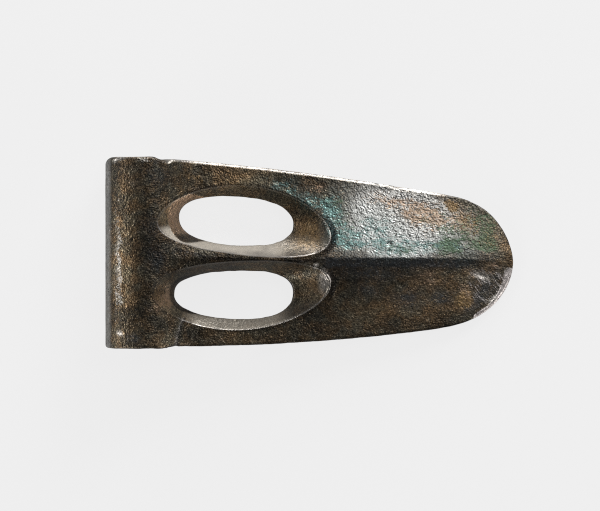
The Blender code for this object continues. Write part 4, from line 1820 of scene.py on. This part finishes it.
@dataclass
class BronzeWork:
    """Lays out the nodes of a bronze skin, on coordinates in millimetres."""

    skin: BronzeSkin
    desk: Desk
    at: Socket
    flecks: bpy.types.NodeTree
    streaks: bpy.types.NodeTree
    weights: dict[Patina, Socket] = field(init=False)

    def __post_init__(self) -> None:
        """Reads the weight of every patina from the mesh's masks."""
        channels = {}
        for name in MASKS:
            mask = self.desk.put("ShaderNodeAttribute", attribute_name=f"patina_{name}")
            parts = self.desk.put("ShaderNodeSeparateColor", {0: mask.outputs["Color"]})
            channels[name] = [*parts.outputs, mask.outputs["Alpha"]]
        self.weights = {patina: channels[patina.value[0]][patina.value[1]] for patina in Patina}

    def _brown(self) -> Socket:
        """Brown skin: one ramp of shades read by broad, middle and fine noise together.

        Returns:
            The colour.
        """
        skin, desk = self.skin, self.desk
        noises = [
            desk.times(desk.coarse(self.at, size, 1.0, seed), share)
            for size, seed, share in skin.noises
        ]
        satin = desk.times(self.weights[Patina.SATIN], skin.satin_contrast)
        away = desk.minus(desk.plus(*noises), skin.middle)
        away = desk.times(away, desk.minus(skin.contrast, satin))
        ramp = desk.put("ShaderNodeValToRGB", {0: desk.plus(away, skin.shade_middle)})
        stops = ramp.color_ramp.elements
        while len(stops) < len(skin.shades):
            stops.new(skin.middle)
        for stop, (place, colour) in zip(stops, skin.shades):
            stop.position, stop.color = place, colour
        share = desk.span(desk.coarse(self.at, skin.mottle_size, 1.0, skin.mottle_seed), skin.mottle)
        return desk.mix(1.0, ramp.outputs[0], desk.mix(share, skin.rusty, skin.slaty), "MULTIPLY")

    def _patched(self) -> tuple[Socket, Socket]:
        """Brown skin under the coloured patches and the painted sheen on the walls.

        Returns:
            The colour, and how metallic it is.
        """
        skin, desk = self.skin, self.desk
        colour = self._brown()
        # Golden lift: a lighter tone, and a painted highlight down the tube's back
        bright = desk.mix(1.0, colour, skin.golden, "MULTIPLY")
        colour = desk.mix(desk.times(self.weights[Patina.GOLD], skin.golden_share), colour, bright)
        metal: object = skin.metal
        for tint in skin.tints:
            weight = self.weights[tint.patina]
            mask = self._flecked(weight, tint.fleck, tint.stretch, tint.seed)
            mask = desk.lerp(tint.soft, mask, weight)
            colour = desk.mix(desk.times(mask, skin.tint_share), colour, tint.colour)
            metal = desk.lerp(mask, metal, tint.metal)
        # Painted sheen on the window walls that face the light
        lit_wall = self.weights[Patina.FILM]
        colour = desk.mix(desk.times(lit_wall, skin.wall_share), colour, skin.wall)
        return colour, desk.lerp(lit_wall, metal, skin.wall_metal)

    def _flecked(self, weight: object, size: float, stretch: float, seed: float) -> Socket:
        """A weight broken into flecks."""
        values = {"Vector": self.at, "Weight": weight, "Size": size, "Stretch": stretch, "Seed": seed}
        return self.desk.group(self.flecks, **values).outputs["Mask"]

    def _streaked(self, degrees: float, size: float, stretch: float) -> Socket:
        """Height of streaks turned by an angle."""
        values = {"Vector": self.desk.turned(self.at, degrees), "Size": size, "Stretch": stretch}
        return self.desk.group(self.streaks, **values).outputs["Height"]

    def _finished(self, colour: Socket, scored: Socket, pits: Socket) -> Socket:
        """A colour with honed metal, scratches, painted glints, darker pits and painted shade.

        Args:
            colour: the patched colour.
            scored: height of the scratches.
            pits: the grain's pits.

        Returns:
            The colour.
        """
        skin, desk, weights = self.skin, self.desk, self.weights
        for patina, light in ((Patina.BEVEL, skin.honed_light), (Patina.SCRATCH, skin.scratch_light)):
            share = desk.times(weights[patina], desk.span(scored, *light))
            colour = desk.mix(share, colour, skin.honed)
        # Sparks: painted glints, bright flecks strongest where the gleam weight is
        gleam = desk.times(weights[Patina.GLEAM], skin.spark_weight)
        gleam = desk.math("MAXIMUM", gleam, skin.spark_least)
        sparks = self._flecked(gleam, skin.spark_size, skin.spark_stretch, skin.spark_seed)
        colour = desk.mix(desk.times(sparks, skin.spark_share), colour, skin.spark)
        # Darker in the grain's pits, except on the painted wall sheen
        pit_dark = desk.times(desk.span(pits, *skin.pit_dark_depth), desk.minus(1.0, weights[Patina.FILM]))
        colour = desk.mix(pit_dark, colour, skin.pit_dark)
        shaded = desk.mix(1.0, colour, skin.shade, "MULTIPLY")
        return desk.mix(weights[Patina.SHADE], colour, shaded)

    def _flowing(self) -> Socket:
        """Streaks that run round the windows' lips, then slant, then run along the blade.

        Returns:
            The height.
        """
        skin, desk = self.skin, self.desk
        x = desk.put("ShaderNodeSeparateXYZ", {0: self.at}).outputs[0]
        noise = desk.coarse(self.at, skin.sway_size, 1.0, skin.sway_seed)
        wavering = desk.plus(x, desk.times(desk.minus(noise, skin.middle), skin.sway))
        height = self._streaked(skin.lip_turn, skin.flow_size, skin.flow_stretch)
        for degrees, zone in skin.flow:
            layer = self._streaked(degrees, skin.flow_size, skin.flow_stretch)
            height = desk.lerp(desk.span(wavering, zone), height, layer)
        return height

    def _height(self, grain: Socket, scored: Socket) -> Socket:
        """Height of the bump: grain, streaks and scratches, less where the skin is calm.

        Args:
            grain: height of the grain.
            scored: height of the scratches.

        Returns:
            The height.
        """
        skin, desk, weights = self.skin, self.desk, self.weights
        rugged = desk.plus(1.0, desk.times(weights[Patina.GLEAM], skin.gleam_rugged))
        rugged = desk.minus(rugged, desk.times(weights[Patina.PALE], skin.pale_calm))
        streaky = desk.times(self._flowing(), weights[Patina.PALE], skin.flow_share)
        scratchy = desk.times(scored, weights[Patina.SCRATCH], skin.score_share)
        height = desk.plus(desk.times(grain, rugged), streaky, scratchy)
        calm: object = 0.0
        for patina, share in skin.calm:
            calm = desk.math("MAXIMUM", calm, desk.times(weights[patina], share))
        return desk.times(height, desk.minus(1.0, calm))

    def dress(self) -> None:
        """Joins colour, metal, roughness and bump in one shader."""
        skin, desk = self.skin, self.desk
        grain = desk.group(skin.groups.grain(), Vector=self.at, Size=skin.grain_size).outputs
        scored = self._streaked(skin.score_turn, skin.score_size, skin.score_stretch)
        colour, metal = self._patched()
        colour = self._finished(colour, scored, grain["Pits"])
        noise = desk.coarse(self.at, skin.rough_size, skin.rough_detail, skin.rough_seed)
        rough = desk.span(noise, skin.rough_noise, skin.rough)
        height = self._height(grain["Height"], scored)
        bump = desk.put("ShaderNodeBump", {"Strength": 1.0, "Distance": skin.bump, "Height": height})
        look = {"Base Color": colour, "Metallic": metal, "Roughness": rough}
        shader = desk.put("ShaderNodeBsdfPrincipled", {**look, "Normal": bump.outputs[0]})
        desk.put("ShaderNodeOutputMaterial", {"Surface": shader.outputs[0]})


def placed(name: str, data: bpy.types.ID) -> bpy.types.Object:
    """Puts a mesh, light or camera into the scene as an object."""
    piece = bpy.data.objects.new(name, data)
    bpy.context.scene.collection.objects.link(piece)
    return piece


def new_mesh(name: str, points: Array, triangles: Array) -> bpy.types.Mesh:
    """Mesh from points and triangles, with every face turned outwards.

    Args:
        name: the mesh's name.
        points: one row of x, y, z for each point.
        triangles: one row of three point numbers for each face.

    Returns:
        The mesh.
    """
    mesh = bpy.data.meshes.new(name)
    mesh.vertices.add(len(points))
    mesh.vertices.foreach_set("co", points.astype(np.float32).ravel())
    mesh.loops.add(triangles.size)
    mesh.loops.foreach_set("vertex_index", triangles.astype(np.int32).ravel())
    mesh.polygons.add(len(triangles))
    mesh.polygons.foreach_set("loop_start", np.arange(0, triangles.size, 3, dtype=np.int32))
    mesh.update(calc_edges=True)
    turned = bmesh.new()
    turned.from_mesh(mesh)
    bmesh.ops.recalc_face_normals(turned, faces=turned.faces)
    open_edges = sum(1 for edge in turned.edges if len(edge.link_faces) != 2)
    LOG.info("%s: %d points, %d triangles, %d open edges", name, len(points), len(triangles), open_edges)
    turned.to_mesh(mesh)
    turned.free()
    mesh.shade_smooth()
    return mesh


@dataclass
class AxeHead:
    """The whole head: its casting, relief, patina and bronze skin."""

    form: AxeForm = AxeForm()
    relief: Relief = Relief()
    skin: BronzeSkin = BronzeSkin()

    def resting_place(self, points: Array) -> tuple[Array, Array]:
        """Turn and shift, in millimetres, that lay the plain form where the solid lies."""
        turn = np.array(Matrix.Rotation(self.form.pitch(), 3, "Y"))
        low = np.array(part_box("axe_head")[0]) / MM
        return turn, low - (points @ turn.T).min(axis=0)

    def build(self) -> bpy.types.Object:
        """Builds, lays down and dresses the head.

        Returns:
            The finished object.
        """
        points, triangles, marks = Casting(self.form).build()
        turn, shift = self.resting_place(points)
        mesh = new_mesh("axe_head_casting", points, triangles)
        normals = np.zeros(len(points) * 3, dtype=np.float32)
        mesh.vertex_normals.foreach_get("vector", normals)
        ways = normals.reshape(-1, 3)
        height = self.relief.depth(points, marks)
        carved = points + ways * height[:, None]
        LOG.info("relief from %.2f to %.2f mm", height.min(), height.max())
        laid = carved @ turn.T + shift
        laid[:, 2] -= laid[:, 2].min()
        mesh.vertices.foreach_set("co", (laid * MM).astype(np.float32).ravel())
        for name, values in PatinaMap(self.relief, points, ways, marks).masks().items():
            layer = mesh.attributes.new(f"patina_{name}", "FLOAT_COLOR", "POINT")
            layer.data.foreach_set("color", values.astype(np.float32).ravel())
        mesh.update()
        mesh.materials.append(self.skin.material(self.form.pitch(), Vector(shift * MM)))
        head = placed("axe_head_casting", mesh)
        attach(head, "root")
        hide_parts("axe_head")
        return head


@dataclass(frozen=True)
class Panel:
    """A soft light: its name, lean off the view axis, bearing, size, distance and power."""

    name: str
    lean: float
    bearing: float
    width: float
    height: float
    away: float
    power: float


@dataclass(frozen=True)
class Studio:
    """Pale floor, soft panels and the camera, all set out from the middle of the axe.

    Lean is measured off the camera's line of sight, and bearing in the picture:
    0 to the right, 90 up.
    """

    turn: Matrix
    centre: Vector
    picture_width: float = 0.150
    lens: float = 250.0
    sensor: float = 36.0
    paper: float = 0.865
    paper_glow: float = 0.80
    paper_bounce: float = 0.142
    paper_colour: float = 0.12
    paper_rough: float = 0.9
    floor_radius: float = 6.0
    floor_rings: int = 8
    floor_sides: int = 64
    around: float = 0.0
    view_reach: float = 100.0
    pixel_filter: float = 1.1
    panels: tuple[Panel, ...] = (
        Panel("key_top", 63.0, 62.0, 0.35, 0.30, 0.8, 2.6),
        Panel("raking_top", 83.0, 92.0, 0.75, 0.30, 0.8, 3.7),
        Panel("high_front", 24.0, 40.0, 0.30, 0.30, 0.8, 0.65),
        Panel("left_strip", 74.0, 176.0, 0.35, 0.15, 0.8, 1.0),
        Panel("low_left", 84.0, 224.0, 0.50, 0.18, 0.8, 2.3),
        Panel("low_right", 78.0, -38.0, 0.50, 0.30, 0.8, 1.7),
    )

    def way(self, lean: float, bearing: float) -> Vector:
        """Direction, in the room, of a lean and a bearing."""
        a, b = math.radians(lean), math.radians(bearing)
        return self.turn @ Vector((math.sin(a) * math.cos(b), math.sin(a) * math.sin(b), math.cos(a)))

    def add_floor(self) -> None:
        """Pale floor: a shallow disc of paper that mostly glows, so shadows stay faint."""
        rings = np.linspace(0.0, 1.0, self.floor_rings + 1)[1:, None] ** 2 * self.floor_radius
        turn = np.linspace(0.0, 2 * np.pi, self.floor_sides + 1)[None, :-1]
        x, y = rings * np.cos(turn), rings * np.sin(turn)
        points = np.stack([x, y, np.zeros_like(x)], axis=-1).reshape(-1, 3)
        index = np.arange(len(points)).reshape(self.floor_rings, self.floor_sides)
        inner, outer = index[:-1], index[1:]
        corners = (inner, outer, np.roll(outer, -1, axis=1), np.roll(inner, -1, axis=1))
        faces = np.stack(corners, axis=-1).reshape(-1, 4)
        mesh = bpy.data.meshes.new("paper_floor")
        mesh.from_pydata(points.tolist(), [], [index[0].tolist(), *faces.tolist()])
        material = bpy.data.materials.new("pale_paper")
        desk = new_desk(material)
        seen = desk.put("ShaderNodeLightPath").outputs["Is Camera Ray"]
        glow = desk.lerp(seen, self.paper_bounce, self.paper_glow)
        look = {"Base Color": (*[self.paper_colour] * 3, 1.0), "Roughness": self.paper_rough}
        light = {"Emission Color": WHITE, "Emission Strength": glow}
        shader = desk.put("ShaderNodeBsdfPrincipled", {**look, **light})
        desk.put("ShaderNodeOutputMaterial", {"Surface": shader.outputs[0]})
        mesh.materials.append(material)
        floor = placed("paper_floor", mesh)

    def add_air(self) -> None:
        """Pale surroundings for the camera, and dim ones for what the bronze mirrors."""
        world = bpy.data.worlds.new("studio")
        bpy.context.scene.world = world
        desk = new_desk(world)
        seen = desk.put("ShaderNodeLightPath").outputs["Is Camera Ray"]
        strength = desk.lerp(seen, self.around, self.paper)
        background = desk.put("ShaderNodeBackground", {"Color": WHITE, "Strength": strength})
        desk.put("ShaderNodeOutputWorld", {"Surface": background.outputs[0]})

    def add_panel(self, panel: Panel) -> None:
        """Places one soft light, facing the axe and unseen by the camera.

        Args:
            panel: the light's size, place and power.
        """
        light = bpy.data.lights.new(panel.name, "AREA")
        light.shape = "RECTANGLE"
        light.size, light.size_y = panel.width, panel.height
        light.energy = panel.power
        lamp = placed(panel.name, light)
        way = self.way(panel.lean, panel.bearing)
        back = way.normalized()
        up = self.turn @ Vector((0.0, 0.0, 1.0))
        side = up.cross(back).normalized()
        rotation = Matrix((side, back.cross(side), back)).transposed()
        lamp.matrix_world = Matrix.Translation(self.centre + way * panel.away) @ rotation.to_4x4()
        lamp.visible_camera = False

    def add_camera(self) -> None:
        """Long lens looking straight down on the axe's own middle plane."""
        data = bpy.data.cameras.new("camera")
        data.lens, data.sensor_width = self.lens, self.sensor
        data.clip_end = self.view_reach
        camera = placed("camera", data)
        away = self.picture_width * self.lens / self.sensor
        stand = self.centre + self.turn @ Vector((0.0, 0.0, away))
        camera.matrix_world = Matrix.Translation(stand) @ self.turn.to_4x4()
        bpy.context.scene.camera = camera

    def build(self) -> None:
        """Sets up the whole studio."""
        self.add_floor()
        self.add_air()
        for panel in self.panels:
            self.add_panel(panel)
            LOG.info("light %s", panel.name)
        self.add_camera()
        bpy.context.scene.view_settings.view_transform = "Standard"
        bpy.context.scene.cycles.use_denoising = False
        bpy.context.scene.cycles.filter_width = self.pixel_filter


# In the axe's frame, in millimetres: the middle of the picture. In the room, in
# metres: where that frame's origin lies.
PICTURE_MIDDLE = Vector((48.6, -0.75, 0.0))
AXE_ORIGIN = Vector((-0.05072, 0.00005, 0.009985))


def main() -> None:
    """Builds the head and the studio, and reports each piece."""
    logging.basicConfig(level=logging.INFO, format="%(name)s: %(message)s")
    form = AxeForm()
    head = AxeHead(form).build()
    LOG.info("%s: %s mm", head.name, tuple(round(side / MM, 2) for side in head.dimensions))
    turn = Matrix.Rotation(form.pitch(), 3, "Y")
    Studio(turn, AXE_ORIGIN + turn @ (PICTURE_MIDDLE * MM)).build()


if __name__ == "__main__":
    main()
